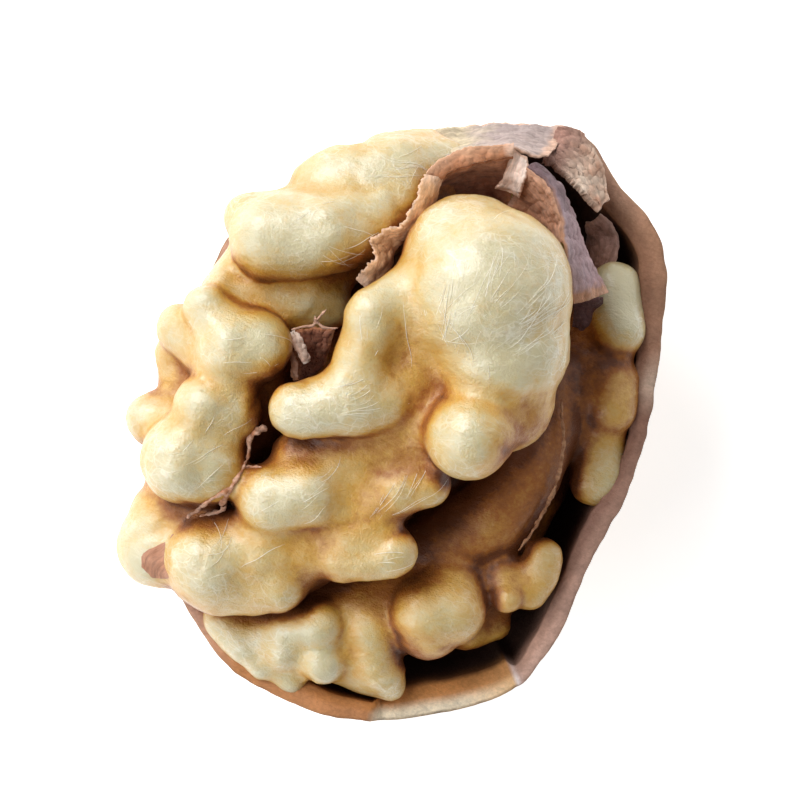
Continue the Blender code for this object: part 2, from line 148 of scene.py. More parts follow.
REAR_HALF = {
    # The foot folds' tans below 0 are painted light on folds that lie in shade.
    "foot": (-0.02, [(-6.9, -17.6, -0.7, 1.9), (-5.2, -18.7, -0.4, 1.7)]),
    "foot_end": (0.0, [(-3.6, -19.7, -0.3, 1.35)]),
    "foot_bump": (-0.10, [(-2.5, -18.4, 0.8, 1.3)]),
    "foot_back": (0.12, [(-3.8, -17.3, -0.4, 2.0), (-0.6, -17.0, -0.5, 2.1),
                         (1.4, -16.4, -0.6, 2.0)]),
    "foot_ridge": (0.02, [(-0.9, -15.7, 1.8, 1.75), (-2.8, -16.7, 1.2, 1.5)]),
    "foot_bud": (-0.10, [(0.2, -18.1, 0.9, 1.7)]),
    "foot_tip": (-0.08, [(-1.5, -20.0, -0.6, 1.3)]),
    "foot_web": (0.20, [(0.9, -17.8, -0.8, 1.6), (3.2, -18.2, -1.0, 1.5)]),
    "pillar": (0.26, [(2.5, -14.8, 0.7, 2.0), (3.4, -16.8, 0.0, 1.8)]),
    "pillar_end": (0.08, [(4.6, -17.7, -0.3, 1.5), (5.2, -18.3, -0.9, 1.2)]),
    "plum": (0.26, [(6.3, -13.5, 1.2, 2.3), (5.7, -12.5, 1.9, 2.5), (7.3, -11.9, 1.6, 2.4)]),
    "plum_top": (0.60, [(7.3, -11.6, 1.2, 2.3), (6.9, -10.6, 0.8, 2.4)]),
    "pea": (0.40, [(10.7, -9.8, 1.4, 1.1)]),
    "pea_root": (0.46, [(10.0, -8.5, 0.4, 1.5)]),
    "corner": (0.40, [(12.2, -6.3, 0.4, 1.45), (12.2, -7.6, 0.4, 1.6), (12.0, -8.8, 0.1, 1.5)]),
    "under_foot": (0.35, [(4.6, -17.9, -2.0, 1.4)]),
    "under_plum": (0.45, [(10.7, -12.0, -2.6, 1.3), (9.1, -12.9, -2.2, 1.6)]),
    # band's high tan is partly its own reddish brown and partly painted shade; sole lies deep, and
    # its tan is painted shade.
    "band": (0.98, [(5.2, -7.9, -0.6, 2.8), (7.8, -5.1, 0.0, 2.9), (9.1, -1.4, 0.2, 2.7),
                    (9.1, 2.3, -0.2, 2.5), (8.6, 5.4, -0.6, 2.4)]),
    "sole": (0.70, [(-4.2, -16.8, -2.4, 3.2), (1.5, -14.1, -1.8, 3.9), (6.2, -10.9, -2.0, 3.8),
                    (10.5, -8.3, -2.6, 2.6)]),
    # right_top's tan below 0 is painted light: it lies in the crown's shade.
    "right_top": (-0.12, [(10.6, 12.9, -0.7, 1.9), (11.8, 10.2, -0.3, 2.1)]),
    "right_middle": (0.68, [(12.7, 6.8, -0.6, 2.0), (13.2, 4.9, -0.2, 1.9)]),
    "right_low": (0.20, [(13.4, 2.5, -1.4, 1.8), (13.9, -0.1, -1.4, 2.0)]),
    # right_root lies deep: its high tan is painted shade in the gap.
    "right_root": (0.92, [(10.4, 8.9, -2.2, 2.4), (11.3, 5.4, -1.4, 2.2), (11.8, 2.4, -2.2, 2.0)]),
    "right_knot": (0.70, [(10.9, 7.2, -0.2, 1.1), (11.2, 5.4, 0.0, 1.0)]),
}
# Brown stains on the skin, and painted shade on the crown's shaded lower right at
# (7.0, -0.6, 10.8) and (7.8, 2.4, 9.2): middle, reach, strength
STAINS_AND_SHADE = (
    ((-3.5, -9.0, 5.5), 1.0, 0.45), ((5.4, -13.9, 2.6), 1.1, 0.50), ((7.2, -14.3, 1.6), 0.8, 0.35),
    ((-9.0, -17.0, 2.0), 1.6, 0.45), ((-10.6, -5.0, 5.0), 1.4, 0.45), ((5.4, -3.0, 7.6), 1.5, 0.40),
    ((8.3, 4.4, 6.0), 2.2, 0.32), ((-3.2, 4.6, 8.5), 1.5, 0.28), ((-0.2, 2.9, 8.6), 2.0, 0.30),
    ((11.7, 8.6, 0.8), 1.9, 0.45), ((-14.4, 7.6, 5.4), 1.3, 0.25), ((-6.6, 9.0, 6.4), 1.6, 0.25),
    ((-12.6, -10.8, 4.2), 1.4, 0.35), ((3.2, -10.6, 5.2), 0.9, 0.30), ((-1.0, 13.8, 9.6), 1.2, 0.12),
    ((-7.4, -4.4, 7.0), 0.9, 0.20), ((2.6, -5.6, 7.4), 0.8, 0.25), ((7.0, -0.6, 10.8), 1.6, 0.65),
    ((7.8, 2.4, 9.2), 2.4, 0.60), ((6.2, -14.9, 1.6), 1.3, 0.60), ((-10.6, -16.6, 2.0), 1.2, 0.35),
)
REAR_BODY = ((-0.2, 0.2, -4.5), (13.0, 17.6, 4.4), 9.6)   # centre, half sizes, lower half
# How softly folds run together, and the swelling of that to take back
MELT = {"front": (0.48, 0.19), "rear": (0.30, 0.12)}

# --------------------------------------------------------------- torn sheets
STRIP = ([(0.7, 19.4, 6.2), (-0.7, 18.7, 6.4), (-2.3, 18.0, 6.6), (-3.5, 16.9, 6.8),
          (-4.1, 15.9, 7.0), (-4.2, 15.0, 7.0), (-4.2, 14.1, 6.9)],
         [(1.0, 18.5, 6.4), (-0.3, 17.8, 6.5), (-1.5, 17.0, 6.6), (-2.4, 16.3, 6.6),
          (-3.0, 15.6, 6.6), (-3.2, 15.1, 6.4), (-3.3, 14.4, 6.2)])
POCKET = ([(1.0, 18.5, 6.2), (-0.3, 17.8, 6.3), (-1.5, 17.0, 6.4), (-2.4, 16.3, 6.4),
           (-3.0, 15.6, 6.4), (-3.4, 15.0, 6.3), (-3.9, 14.0, 6.4)],
          [(1.9, 15.2, 2.2), (0.8, 15.2, 1.8), (-0.2, 15.0, 1.6), (-1.0, 14.6, 1.4),
           (-1.6, 14.2, 1.2), (-2.1, 13.5, 1.4), (-2.6, 12.6, 1.8)])
LEFT_EDGE = ([(-4.4, 15.3, 7.4), (-4.5, 14.1, 8.0), (-4.5, 13.1, 8.1), (-4.6, 12.3, 8.1),
              (-5.1, 11.5, 8.1), (-5.9, 10.9, 8.1), (-6.4, 10.0, 8.0), (-5.9, 9.1, 7.8),
              (-6.2, 8.2, 7.5), (-6.5, 7.4, 7.0)],
             [(-3.0, 15.5, 6.2), (-2.9, 14.4, 6.3), (-3.0, 13.5, 6.3), (-3.2, 12.5, 6.3),
              (-3.7, 11.6, 6.3), (-4.1, 10.8, 6.3), (-4.3, 10.0, 6.2), (-4.3, 9.2, 6.0),
              (-4.4, 8.2, 5.6), (-4.8, 7.0, 5.2)])
LINING = ([(-5.1, 18.7, 0.9), (-3.4, 19.5, 0.9), (-1.5, 20.4, 0.9), (0.4, 21.1, 0.8),
           (2.4, 21.7, 0.8), (3.8, 22.1, 0.9)],
          [(-3.4, 17.4, 3.6), (-2.0, 17.9, 5.2), (-0.6, 18.5, 6.1), (0.8, 19.1, 6.2),
           (2.2, 19.1, 5.2), (3.2, 19.5, 4.6)])
POST = ([(0.7, 19.0, 6.3), (0.7, 18.1, 5.8), (0.7, 17.1, 5.2), (0.4, 16.2, 4.6)],
        [(1.9, 18.9, 5.8), (2.3, 18.0, 6.0), (2.3, 17.1, 5.6), (2.4, 16.1, 4.8)])
RIDGE = [(2.1, 18.2, 6.2), (3.6, 17.6, 6.8), (4.6, 16.7, 7.1), (5.4, 15.6, 7.2),
         (6.0, 14.2, 7.0), (6.9, 12.7, 6.5), (8.1, 10.6, 5.6)]
WALL_OUT = [(2.7, 18.5, 5.4), (4.1, 17.9, 5.2), (5.4, 16.8, 5.0), (6.7, 15.5, 4.8),
            (7.7, 14.3, 4.6), (8.8, 13.3, 4.5), (10.2, 12.2, 4.4)]
WALL_IN = [(1.7, 15.2, 3.0), (2.7, 15.0, 2.8), (3.6, 14.6, 2.6), (4.5, 14.0, 2.6),
           (5.2, 13.3, 2.6)]
BACK_FLAP = ([(8.0, 17.3, -0.6), (9.1, 16.9, -0.7), (9.8, 16.1, -0.9), (10.1, 15.1, -1.1),
              (10.2, 14.0, -1.4), (10.0, 13.0, -1.8)],
             [(7.8, 16.8, -3.6), (7.9, 15.9, -3.9), (8.1, 15.0, -4.0), (8.5, 14.3, -4.0),
              (9.1, 13.6, -3.8), (9.7, 12.9, -3.4)])
LOW_FLAP = ([(8.0, 11.5, 1.6), (8.9, 11.7, 1.8), (10.0, 11.9, 1.8)],
            [(8.8, 9.2, -0.4), (9.8, 9.0, -0.3), (10.8, 10.0, -0.4)])
TIP_FLAP = ([(3.2, 22.0, 1.6), (4.1, 22.2, 1.6), (5.5, 21.8, 1.5), (6.8, 20.7, 1.4),
             (7.7, 19.4, 1.4), (8.2, 18.3, 1.6)],
            [(3.0, 19.0, 3.4), (3.8, 18.9, 3.4), (4.8, 18.5, 3.3), (5.9, 18.1, 3.2),
             (6.9, 17.6, 3.0), (7.8, 17.3, 2.6)])
UPPER_BIT = ([(-9.2, 2.7, 5.6), (-8.6, 3.1, 5.4), (-7.6, 3.5, 5.2), (-6.5, 3.8, 5.2)],
             [(-7.9, -0.4, 3.0), (-7.5, -0.2, 2.4), (-7.0, 0.3, 2.2), (-6.5, 0.9, 2.4)])
FLAKE = ([(-9.3, 2.2, 6.6), (-8.8, 1.6, 6.6), (-8.2, 1.1, 6.5), (-7.7, 0.7, 6.4)],
         [(-9.0, 2.7, 6.4), (-8.3, 2.2, 6.4), (-7.6, 1.6, 6.3), (-7.3, 1.1, 6.2)])
UPPER_SIDE = ([(-9.6, 2.2, 6.2), (-9.0, 1.5, 6.0), (-8.4, 0.6, 5.6), (-8.0, -0.4, 5.0)],
              [(-9.3, 2.2, 6.5), (-8.7, 1.5, 6.4), (-8.0, 0.6, 6.0), (-7.6, -0.3, 5.4)])
# Threads of septum: (radius at the start, at the end, points)
UPPER_THREADS = (
    (0.10, 0.07, [(-9.2, 2.6, 6.2), (-8.5, 3.1, 6.2), (-7.9, 3.4, 6.3), (-7.8, 3.8, 6.5),
                  (-7.6, 4.3, 6.8), (-7.4, 4.7, 7.0)]),
    (0.16, 0.05, [(-8.0, 4.0, 6.6), (-7.6, 3.6, 6.4), (-7.1, 3.5, 6.3), (-6.3, 3.8, 6.4)]),
)
LOWER_THREADS = (
    (0.26, 0.10, [(-8.5, -4.2, 6.4), (-9.0, -4.4, 6.6), (-9.4, -5.2, 6.6), (-9.2, -5.9, 6.5),
                  (-9.1, -6.6, 6.3)]),
    (0.10, 0.26, [(-9.1, -6.6, 6.3), (-9.2, -7.4, 6.1), (-9.4, -8.3, 5.9), (-9.6, -9.3, 5.6),
                  (-9.8, -10.1, 5.2)]),
    (0.12, 0.07, [(-9.1, -7.1, 6.2), (-8.6, -6.9, 6.4), (-8.0, -6.7, 6.6)]),
    (0.18, 0.12, [(-9.4, -8.6, 5.7), (-10.1, -9.4, 5.0), (-10.8, -10.3, 4.6),
                  (-11.3, -11.1, 4.2), (-11.8, -11.9, 3.9)]),
    (0.20, 0.10, [(-9.7, -9.6, 5.2), (-9.6, -10.4, 4.8), (-10.3, -10.9, 4.4),
                  (-11.0, -11.4, 4.2)]),
)

# Crumbly ridge along the right edge of the rear half's band
BAND_RIDGE = (
    (0.08, 0.16, [(9.6, 4.4, 2.3), (10.1, 3.0, 2.5), (10.7, 1.7, 2.6), (11.0, 0.3, 2.5),
                  (11.2, -1.3, 2.3)]),
    (0.17, 0.08, [(11.2, -1.3, 2.3), (11.1, -3.0, 1.9), (10.8, -4.8, 1.6), (10.3, -6.4, 1.8)]),
)
# Patch of reddish skin on the low left fold: two edges (x, y) draped over the kernel
SKIN_PATCH = ([(-13.6, -15.9), (-13.8, -15.0), (-12.9, -13.9), (-11.95, -12.6)],
              [(-12.6, -16.4), (-11.4, -16.0), (-11.2, -14.8), (-11.4, -12.8)])
# Distances out from the skin at which creases are felt for, and their weights
CREASE_STEPS = ((0.5, 0.30), (1.1, 0.30), (2.2, 0.22), (4.0, 0.18))
FALL_FROM = 16.0                    # height, above every fold, from which points are dropped
FALL_TO = -4.0                      # and where they stop if they miss the front half
VEIN_STEPS = 18
PATCH_TOP = 4.0                     # the patch goes in under the heel above this height

# ------------------------------------------------------------------ veins
# Patches of pale veins: middle (x, y), spread, heading in degrees, turn to either
# side, how many, mean length
VEIN_PATCHES = (
    ((5.2, 7.6), 1.6, 48, 14, 26, 3.8),
    ((1.2, 9.4), 2.6, 105, 22, 20, 3.2),
    ((2.8, 5.8), 2.4, 78, 20, 20, 3.6),
    ((0.4, 6.2), 1.6, 62, 30, 14, 3.0),
    ((-1.4, 6.8), 1.0, -62, 14, 14, 3.6),
    ((-4.2, 2.5), 1.4, 95, 25, 12, 3.0),
    ((-4.5, -0.8), 1.6, 25, 16, 9, 2.8),
    ((-5.6, -8.0), 1.8, 45, 14, 12, 2.6),
    ((-8.3, -13.8), 2.4, 70, 20, 9, 2.6),
    ((0.8, -7.2), 0.9, 68, 10, 6, 3.6),
    ((1.4, -9.8), 1.2, 30, 10, 4, 2.4),
    ((1.6, -5.2), 0.7, 74, 14, 4, 2.6),
    ((-9.0, 9.2), 2.8, 20, 20, 9, 3.2),
    ((-6.0, 15.2), 2.0, 35, 30, 10, 3.0),
    ((-11.6, 0.8), 2.0, 10, 20, 5, 2.4),
    ((-12.2, -7.8), 2.0, 50, 24, 6, 2.4),
)

# ------------------------------------------------------------------- colours
CREAM = (0.61, 0.53, 0.30)
PALE_PINK = (0.72, 0.47, 0.35)
PINK_TAN = (0.55, 0.31, 0.21)
RUST = (0.44, 0.18, 0.085)
RED_BROWN = (0.24, 0.075, 0.04)
LILAC = (0.46, 0.345, 0.375)
PLUM_BROWN = (0.16, 0.085, 0.085)
# Nearly black: painted shade deep in the shell's hollow.
SHELL_HOLLOW_SHADE = (0.055, 0.026, 0.018)
SHELL_LINE = (0.12, 0.055, 0.03)
KERNEL_STRAW = (0.64, 0.46, 0.165)
# Nearly black: painted shade at the bottom of the deepest creases.
KERNEL_DEEP = (0.14, 0.040, 0.010)
LINE_PALE = (0.93, 0.88, 0.72)
HAZE_PALE = (0.86, 0.83, 0.72)
FRECKLE_BROWN = (0.42, 0.22, 0.07)
VEIN_CREAM = (0.88, 0.82, 0.64)
VEIN_WHITE = (0.97, 0.95, 0.88)
PAPER_FUZZ = (0.82, 0.68, 0.60)
# Torn sheets: edges; colours of the first edge, the second, the torn rims and, if there is
# a fourth, the start; bow; shares torn off at each edge; seed
SEPTUM_SHEETS = (
    (LINING, ((0.42, 0.335, 0.32), (0.54, 0.42, 0.38), PALE_PINK, (0.62, 0.52, 0.36)),
     0.4, (0.0, 0.0), 201),
    (STRIP, ((0.60, 0.34, 0.21), RUST, PALE_PINK), 0.2, (0.12, 0.12), 211),
    (POCKET, ((0.50, 0.24, 0.14), RED_BROWN, RUST), -0.7, (0.0, 0.0), 221),
    (LEFT_EDGE, ((0.74, 0.43, 0.23), (0.60, 0.31, 0.15), (0.78, 0.52, 0.36)),
     0.35, (0.22, 0.14), 231),
    # The post's pale colours are partly painted light, raised to lift the shade it stands in.
    (POST, ((0.84, 0.62, 0.52), (0.92, 0.76, 0.68), PALE_PINK), -0.3, (0.1, 0.1), 241),
    ((RIDGE, WALL_OUT), (LILAC, (0.42, 0.27, 0.28), PINK_TAN, (0.16, 0.10, 0.11)),
     0.3, (0.0, 0.08), 251),
    ((RIDGE[:5], WALL_IN), (PINK_TAN, RUST, PINK_TAN), 0.2, (0.02, 0.0), 261),
)
# The back flap's colours run from its first edge and torn rims to a near-black second edge: partly
# its mauve brown, partly painted light on the lit first edge and rims and painted shade in its
# hollow.
BACK_SHEETS = (
    (BACK_FLAP, ((0.52, 0.31, 0.26), (0.12, 0.06, 0.055), (0.56, 0.35, 0.29)),
     -0.6, (0.01, 0.02), 271),
    (LOW_FLAP, (PLUM_BROWN, PLUM_BROWN, PLUM_BROWN), 0.3, (0.05, 0.12), 281),
)
FRAGMENT_SHEETS = (
    (UPPER_BIT, ((0.42, 0.18, 0.11), (0.24, 0.08, 0.045), RUST), -0.4, (0.06, 0.0), 301),
    (FLAKE, (PALE_PINK, (0.86, 0.68, 0.58), (0.90, 0.76, 0.66)), 0.15, (0.15, 0.15), 311),
    (UPPER_SIDE, (RUST, PINK_TAN, RUST), 0.1, (0.15, 0.1), 321),
)
# Broken rim: degrees round from +X, colour of the outer edge, colour of the inner edge;
# the pale outer edges are partly painted light on the rim's lit top, and the orange at
# the heel partly painted warm bounce light
RIM_COLOURS = (
    (-180, PINK_TAN, RUST),
    (-135, (0.60, 0.34, 0.24), RUST),
    (-116, (0.60, 0.34, 0.24), RUST),
    (-104, (0.52, 0.23, 0.09), (0.46, 0.19, 0.06)),
    (-78, (0.50, 0.22, 0.09), (0.46, 0.19, 0.06)),
    (-76, (0.86, 0.73, 0.54), (0.54, 0.22, 0.06)),
    (-60, (0.86, 0.73, 0.54), (0.54, 0.23, 0.07)),
    (-49, (0.74, 0.47, 0.24), (0.58, 0.28, 0.10)),
    (-48.2, (0.70, 0.64, 0.66), (0.62, 0.50, 0.48)),
    (-47.4, (0.54, 0.34, 0.27), (0.40, 0.24, 0.18)),
    (-10, (0.48, 0.28, 0.21), (0.36, 0.19, 0.14)),
    (18, (0.32, 0.165, 0.115), (0.26, 0.13, 0.09)),
    (26, (0.62, 0.45, 0.35), (0.34, 0.20, 0.14)),
    (34, (0.38, 0.20, 0.13), (0.26, 0.12, 0.075)),
    (55, (0.42, 0.22, 0.13), (0.34, 0.17, 0.10)),
    (95, (0.56, 0.37, 0.30), (0.34, 0.19, 0.14)),
    (150, PINK_TAN, RUST),
    (180, PINK_TAN, RUST),
)

# ---------------------------------------------------------------------- stage
FLOOR_HALF = 1.5                    # metres, like the rest of this part
RIGHT = np.array([0.943, 0.332, 0.0])     # the camera's right and up, along the floor
UP = np.array([-0.332, 0.943, 0.0])
CAMERA_SHIFT = np.array([-0.76, 0.61, 0.0])   # of the camera from the mouth's middle, mm
HORIZON = 0.85                      # strength of the sky's light low down
# Lamps: name, place right, up and above the mouth, size, share of the key light, colour
LAMPS = (
    ("window_light", -0.17, 0.20, 0.22, 0.26, 1.0, (1.0, 0.99, 0.975)),
    ("front_light", -0.20, -0.10, 0.18, 0.22, 0.34, (0.98, 0.99, 1.0)),
    ("fill_light", 0.20, 0.13, 0.20, 0.25, 0.14, (0.96, 0.98, 1.0)),
)


# ================================================================== settings
def colour_property(name, description, default):
    """A colour picker with a default."""
    return bpy.props.FloatVectorProperty(
        name=name, description=description, default=default, size=3,
        min=0.0, max=1.0, subtype="COLOR")


def length_property(name, description, default, largest):
    """A length in millimetres."""
    return bpy.props.FloatProperty(
        name=name, description=description, default=default, min=0.0, max=largest)


class WalnutShellSettings(bpy.types.PropertyGroup):
    """Sizes and colours of the shell and its loose flap."""

    wall: length_property("Wall", "Thickness of the shell's wall, in millimetres", 1.4, 4.0)
    groove: length_property("Groove", "Depth of the grooves outside, in millimetres", 0.42, 2.0)
    flap: length_property("Flap", "Thickness of the loose flap, in millimetres", 0.8, 3.0)
    ridge_colour: colour_property("Ridges", "High ground outside", (0.56, 0.37, 0.20))
    # The grooves' darker colour is painted shade.
    groove_colour: colour_property("Grooves", "Low ground outside", (0.24, 0.12, 0.05))


class WalnutKernelSettings(bpy.types.PropertyGroup):
    """Sizes and colours of the kernel."""

    cell: length_property("Cell", "Size of the cells of the skin, in millimetres", 0.41, 2.0)
    dimple: length_property("Dimples", "Depth of the soft dimples, in millimetres", 0.13, 1.0)
    wrinkle: length_property("Wrinkles", "Depth of the wrinkles in creases", 0.07, 1.0)
    vein: length_property("Veins", "Radius of a vein, in millimetres", 0.017, 0.5)
    cream: colour_property("Cream", "Skin on top of the folds", CREAM)
    # Honey on the sides of the folds is painted shade; brown in the creases is partly the skin's own
    # colour and partly painted shade.
    honey: colour_property("Honey", "Skin on the sides of the folds", (0.62, 0.335, 0.045))
    brown: colour_property("Brown", "Skin in the creases", (0.37, 0.127, 0.020))


class WalnutSeptumSettings(bpy.types.PropertyGroup):
    """Sizes of the torn papery septum."""

    sheet: length_property("Sheet", "Thickness of the septum, in millimetres", 0.34, 2.0)
    ripple: length_property("Ripple", "Height of the ripples, in millimetres", 0.16, 1.0)


class WalnutStageSettings(bpy.types.PropertyGroup):
    """Floor, light and camera."""

    distance: bpy.props.FloatProperty(
        name="Camera distance", description="From the shell's mouth up to the camera",
        default=0.230, min=0.05, max=2.0, unit="LENGTH")
    lens: bpy.props.FloatProperty(
        name="Lens", description="Focal length in millimetres", default=150.1, min=20.0, max=400.0)
    key: bpy.props.FloatProperty(
        name="Key light", description="Power of the window light", default=1.14, min=0.0,
        max=100.0, unit="POWER")
    sky: bpy.props.FloatProperty(
        name="Sky", description="Strength of the light from all round", default=0.17, min=0.0,
        max=5.0)


class WalnutSettings(bpy.types.PropertyGroup):
    """All of the walnut's settings."""

    shell: bpy.props.PointerProperty(type=WalnutShellSettings)
    kernel: bpy.props.PointerProperty(type=WalnutKernelSettings)
    septum: bpy.props.PointerProperty(type=WalnutSeptumSettings)
    stage: bpy.props.PointerProperty(type=WalnutStageSettings)


# ===================================================================== noise
_SHUFFLE = np.random.default_rng(7).permutation(256)
_SLOPES = np.random.default_rng(11).normal(size=(256, 3))
_SLOPES /= np.linalg.norm(_SLOPES, axis=1, keepdims=True)


def noise(points, size, seed=0):
    """Smooth noise from about -1 to 1.

    Each corner of a lattice of the given size has a random slope; a point takes the
    slopes of its cell's eight corners, blended by the ease curve 6t^5 - 15t^4 + 10t^3.
    """
    place = points / size
    base = np.floor(place).astype(np.int64)
    part = place - base
    ease = part**3 * (part * (part * 6.0 - 15.0) + 10.0)
    total = np.zeros(points.shape[:-1])
    for corner in itertools.product((0, 1), repeat=3):
        cell = (base + corner + seed * 37) & 255
        key = _SHUFFLE[cell[..., 0]]
        key = _SHUFFLE[(key + cell[..., 1]) & 255]
        key = _SHUFFLE[(key + cell[..., 2]) & 255]
        weight = np.where(corner, ease, 1.0 - ease).prod(axis=-1)
        total += weight * (_SLOPES[key] * (part - corner)).sum(axis=-1)
    return total * 1.6


def cloudy(points, size, octaves=3, seed=0):
    """Sum of noises, each half the size and half the height of the one before."""
    total = 0.0
    for k in range(octaves):
        total = total + noise(points, size / 2**k, seed + k) / 2**k
    return total


def ridged(points, size, seed=0):
    """1 along the lines where noise crosses zero, falling to 0 away from them."""
    return np.clip(1.0 - np.abs(noise(points, size, seed)) * 2.2, 0.0, 1.0)


def ramp(value, low, high):
    """0 below low, 1 above high, and an ease curve between."""
    step = np.clip((value - low) / (high - low), 0.0, 1.0)
    return step * step * (3.0 - 2.0 * step)


def mix(first, second, share):
    """Colours blended by a share from 0 to 1, given for each point."""
    share = np.asarray(share)[..., None]
    return np.asarray(first) * (1.0 - share) + np.asarray(second) * share


# =================================================================== surfaces
def smooth_line(points, count):
    """A smooth curve through the points, evenly spaced.

    Between two points it is the cubic that leaves each along the chord of its
    neighbours; the result is read off again at equal steps of its length.
    """
    pts = np.asarray(points, float)
    ends = np.concatenate([[2 * pts[0] - pts[1]], pts, [2 * pts[-1] - pts[-2]]])
    t = np.linspace(0.0, 1.0, 24, endpoint=False)[:, None]
    parts = []
    for a, b, c, d in zip(ends, ends[1:], ends[2:], ends[3:]):
        parts.append(0.5 * (2 * b + (c - a) * t + (2 * a - 5 * b + 4 * c - d) * t**2
                            + (3 * b - a - 3 * c + d) * t**3))
    line = np.concatenate(parts + [pts[-1:]])
    reach = np.concatenate([[0.0], np.linalg.norm(np.diff(line, axis=0), axis=1).cumsum()])
    even = np.linspace(0.0, reach[-1], count)
    return np.stack([np.interp(even, reach, line[:, k]) for k in range(3)], axis=1)


def grid_faces(rows, columns, closed=False):
    """Quads of a grid of points numbered row by row; closed joins the last column to the first."""
    r = np.arange(rows - 1)[:, None]
    c = np.arange(columns if closed else columns - 1)[None, :]
    n = (c + 1) % columns
    quads = (r * columns + c, r * columns + n, (r + 1) * columns + n, (r + 1) * columns + c)
    return np.stack(np.broadcast_arrays(*quads), axis=-1).reshape(-1, 4)


def end_caps(rows, columns):
    """Fans that close a closed grid's first and last rows round two points added after it."""
    here = np.arange(columns)
    there = (here + 1) % columns
    last = (rows - 1) * columns
    return np.concatenate([
        np.stack([there, here, np.full(columns, rows * columns)], axis=1),
        np.stack([last + here, last + there, np.full(columns, rows * columns + 1)], axis=1)])


def grid_normals(grid):
    """Unit normals of a grid of points: the cross product of its two directions."""
    across = np.cross(np.gradient(grid, axis=0), np.gradient(grid, axis=1))
    return across / np.maximum(np.linalg.norm(across, axis=2, keepdims=True), TINY)


def slab(grid, thickness):
    """Points and faces of a sheet with two faces and a closed edge.

    Each point of the middle surface goes half the thickness out along the normal to
    either side; walls join the two sides round the border.
    """
    rows, columns = grid.shape[:2]
    out = grid_normals(grid) * (thickness * 0.5)[..., None]
    points = np.concatenate([(grid + out).reshape(-1, 3), (grid - out).reshape(-1, 3)])
    top = grid_faces(rows, columns)
    index = np.arange(rows * columns).reshape(rows, columns)
    border = np.concatenate([index[0, :-1], index[:-1, -1], index[-1, :0:-1], index[:0:-1, 0]])
    after = np.roll(border, -1)
    under = rows * columns
    walls = np.stack([after, border, border + under, after + under], axis=1)
    if np.cross(grid[1, 0] - grid[0, 0], grid[0, 1] - grid[0, 0]) @ out[0, 0] > 0:
        top = top[:, ::-1]
        walls = walls[:, ::-1]
    faces = np.concatenate([top, top[:, ::-1] + under, walls])
    return points, faces


def tube(path, radius, sides=7):
    """A round thread along a path: a ring of points at each step, closed at both ends."""
    count = len(path)
    along = np.gradient(path, axis=0)
    along /= np.maximum(np.linalg.norm(along, axis=1, keepdims=True), TINY)
    side = np.cross(along, (0.13, 0.21, 0.97))
    side /= np.maximum(np.linalg.norm(side, axis=1, keepdims=True), TINY)
    rise = np.cross(side, along)
    turn = np.linspace(0.0, math.tau, sides, endpoint=False)
    ring = np.cos(turn)[None, :, None] * side[:, None] + np.sin(turn)[None, :, None] * rise[:, None]
    points = (path[:, None] + ring * np.asarray(radius)[:, None, None]).reshape(-1, 3)
    points = np.concatenate([points, path[:1], path[-1:]])
    quads = grid_faces(count, sides, closed=True)[:, ::-1]
    return points, quads, end_caps(count, sides)[:, [1, 0, 2]]


def join(parts):
    """Several (points, quads, triangles) sets as one."""
    points, quads, caps = [], [], []
    start = 0
    for part_points, part_quads, part_caps in parts:
        points.append(part_points)
        quads.append(part_quads + start)
        caps.append(part_caps + start)
        start += len(part_points)
    return np.concatenate(points), np.concatenate(quads), np.concatenate(caps)


def new_piece(name, points, faces, material, node, values=None, more=None):
    """A mesh object from millimetres in the nut frame, with its values for each point."""
    mesh = bpy.data.meshes.new(name)
    rows = faces.tolist()
    if more is not None:
        rows += more.tolist()
    mesh.from_pydata(((points + MOUTH) * MM).tolist(), [], rows)
    for key, value in (values or {}).items():
        if np.ndim(value) == 1:
            layer = mesh.attributes.new(key, "FLOAT", "POINT")
            layer.data.foreach_set("value", np.ascontiguousarray(value, np.float32))
        elif value.shape[1] == 4:
            layer = mesh.attributes.new(key, "FLOAT_COLOR", "POINT")
            layer.data.foreach_set("color", value.astype(np.float32).ravel())
        else:
            layer = mesh.attributes.new(key, "FLOAT_VECTOR", "POINT")
            layer.data.foreach_set("vector", value.astype(np.float32).ravel())
    mesh.materials.append(material)
    mesh.shade_smooth()
    piece = bpy.data.objects.new(name, mesh)
    bpy.context.scene.collection.objects.link(piece)
    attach(piece, "root")
    if node:
        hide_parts(node)
    return piece


def opaque(colours):
    """Colours with an alpha of 1."""
    return np.concatenate([colours, np.ones(colours.shape[:-1] + (1,))], axis=-1)


# ====================================================================== shell
def bulges(degrees, rows):
    """Sum of smooth bumps round the outline."""
    total = 0.0
    for centre, height, width in rows:
        off = (degrees - centre + 180.0) % 360.0 - 180.0
        total = total + height * np.exp(-(off / width) ** 2)
    return total


def mouth_radius(angle):
    """Outside of the mouth at an angle: a superellipse with its bulges."""
    wide = (np.abs(np.cos(angle)) / HALF_WIDTH) ** ROUNDNESS
    long = (np.abs(np.sin(angle)) / HALF_LENGTH) ** ROUNDNESS
    return (wide + long) ** (-1.0 / ROUNDNESS) + bulges(np.degrees(angle), MOUTH_BULGES)


def heel_bite(degrees):
    """1 where a piece of the rim is broken out at the heel, 0 elsewhere."""
    start, end = HEEL_BITE
    return ramp(degrees, start - 0.7, start + 0.7) * (1.0 - ramp(degrees, end - 0.7, end + 0.7))


def bowl_rows(breadth, end, depth, compass, shares):
    """Rows of a bowl, one for each share of the turn from its pole to its edge."""
    rows = []
    for share in shares:
        turn = end * share
        radius = breadth * np.sin(turn)
        height = -depth * np.cos(turn)
        rows.append(np.stack([radius * compass[:, 0], radius * compass[:, 1], height], axis=1))
    return np.stack(rows)


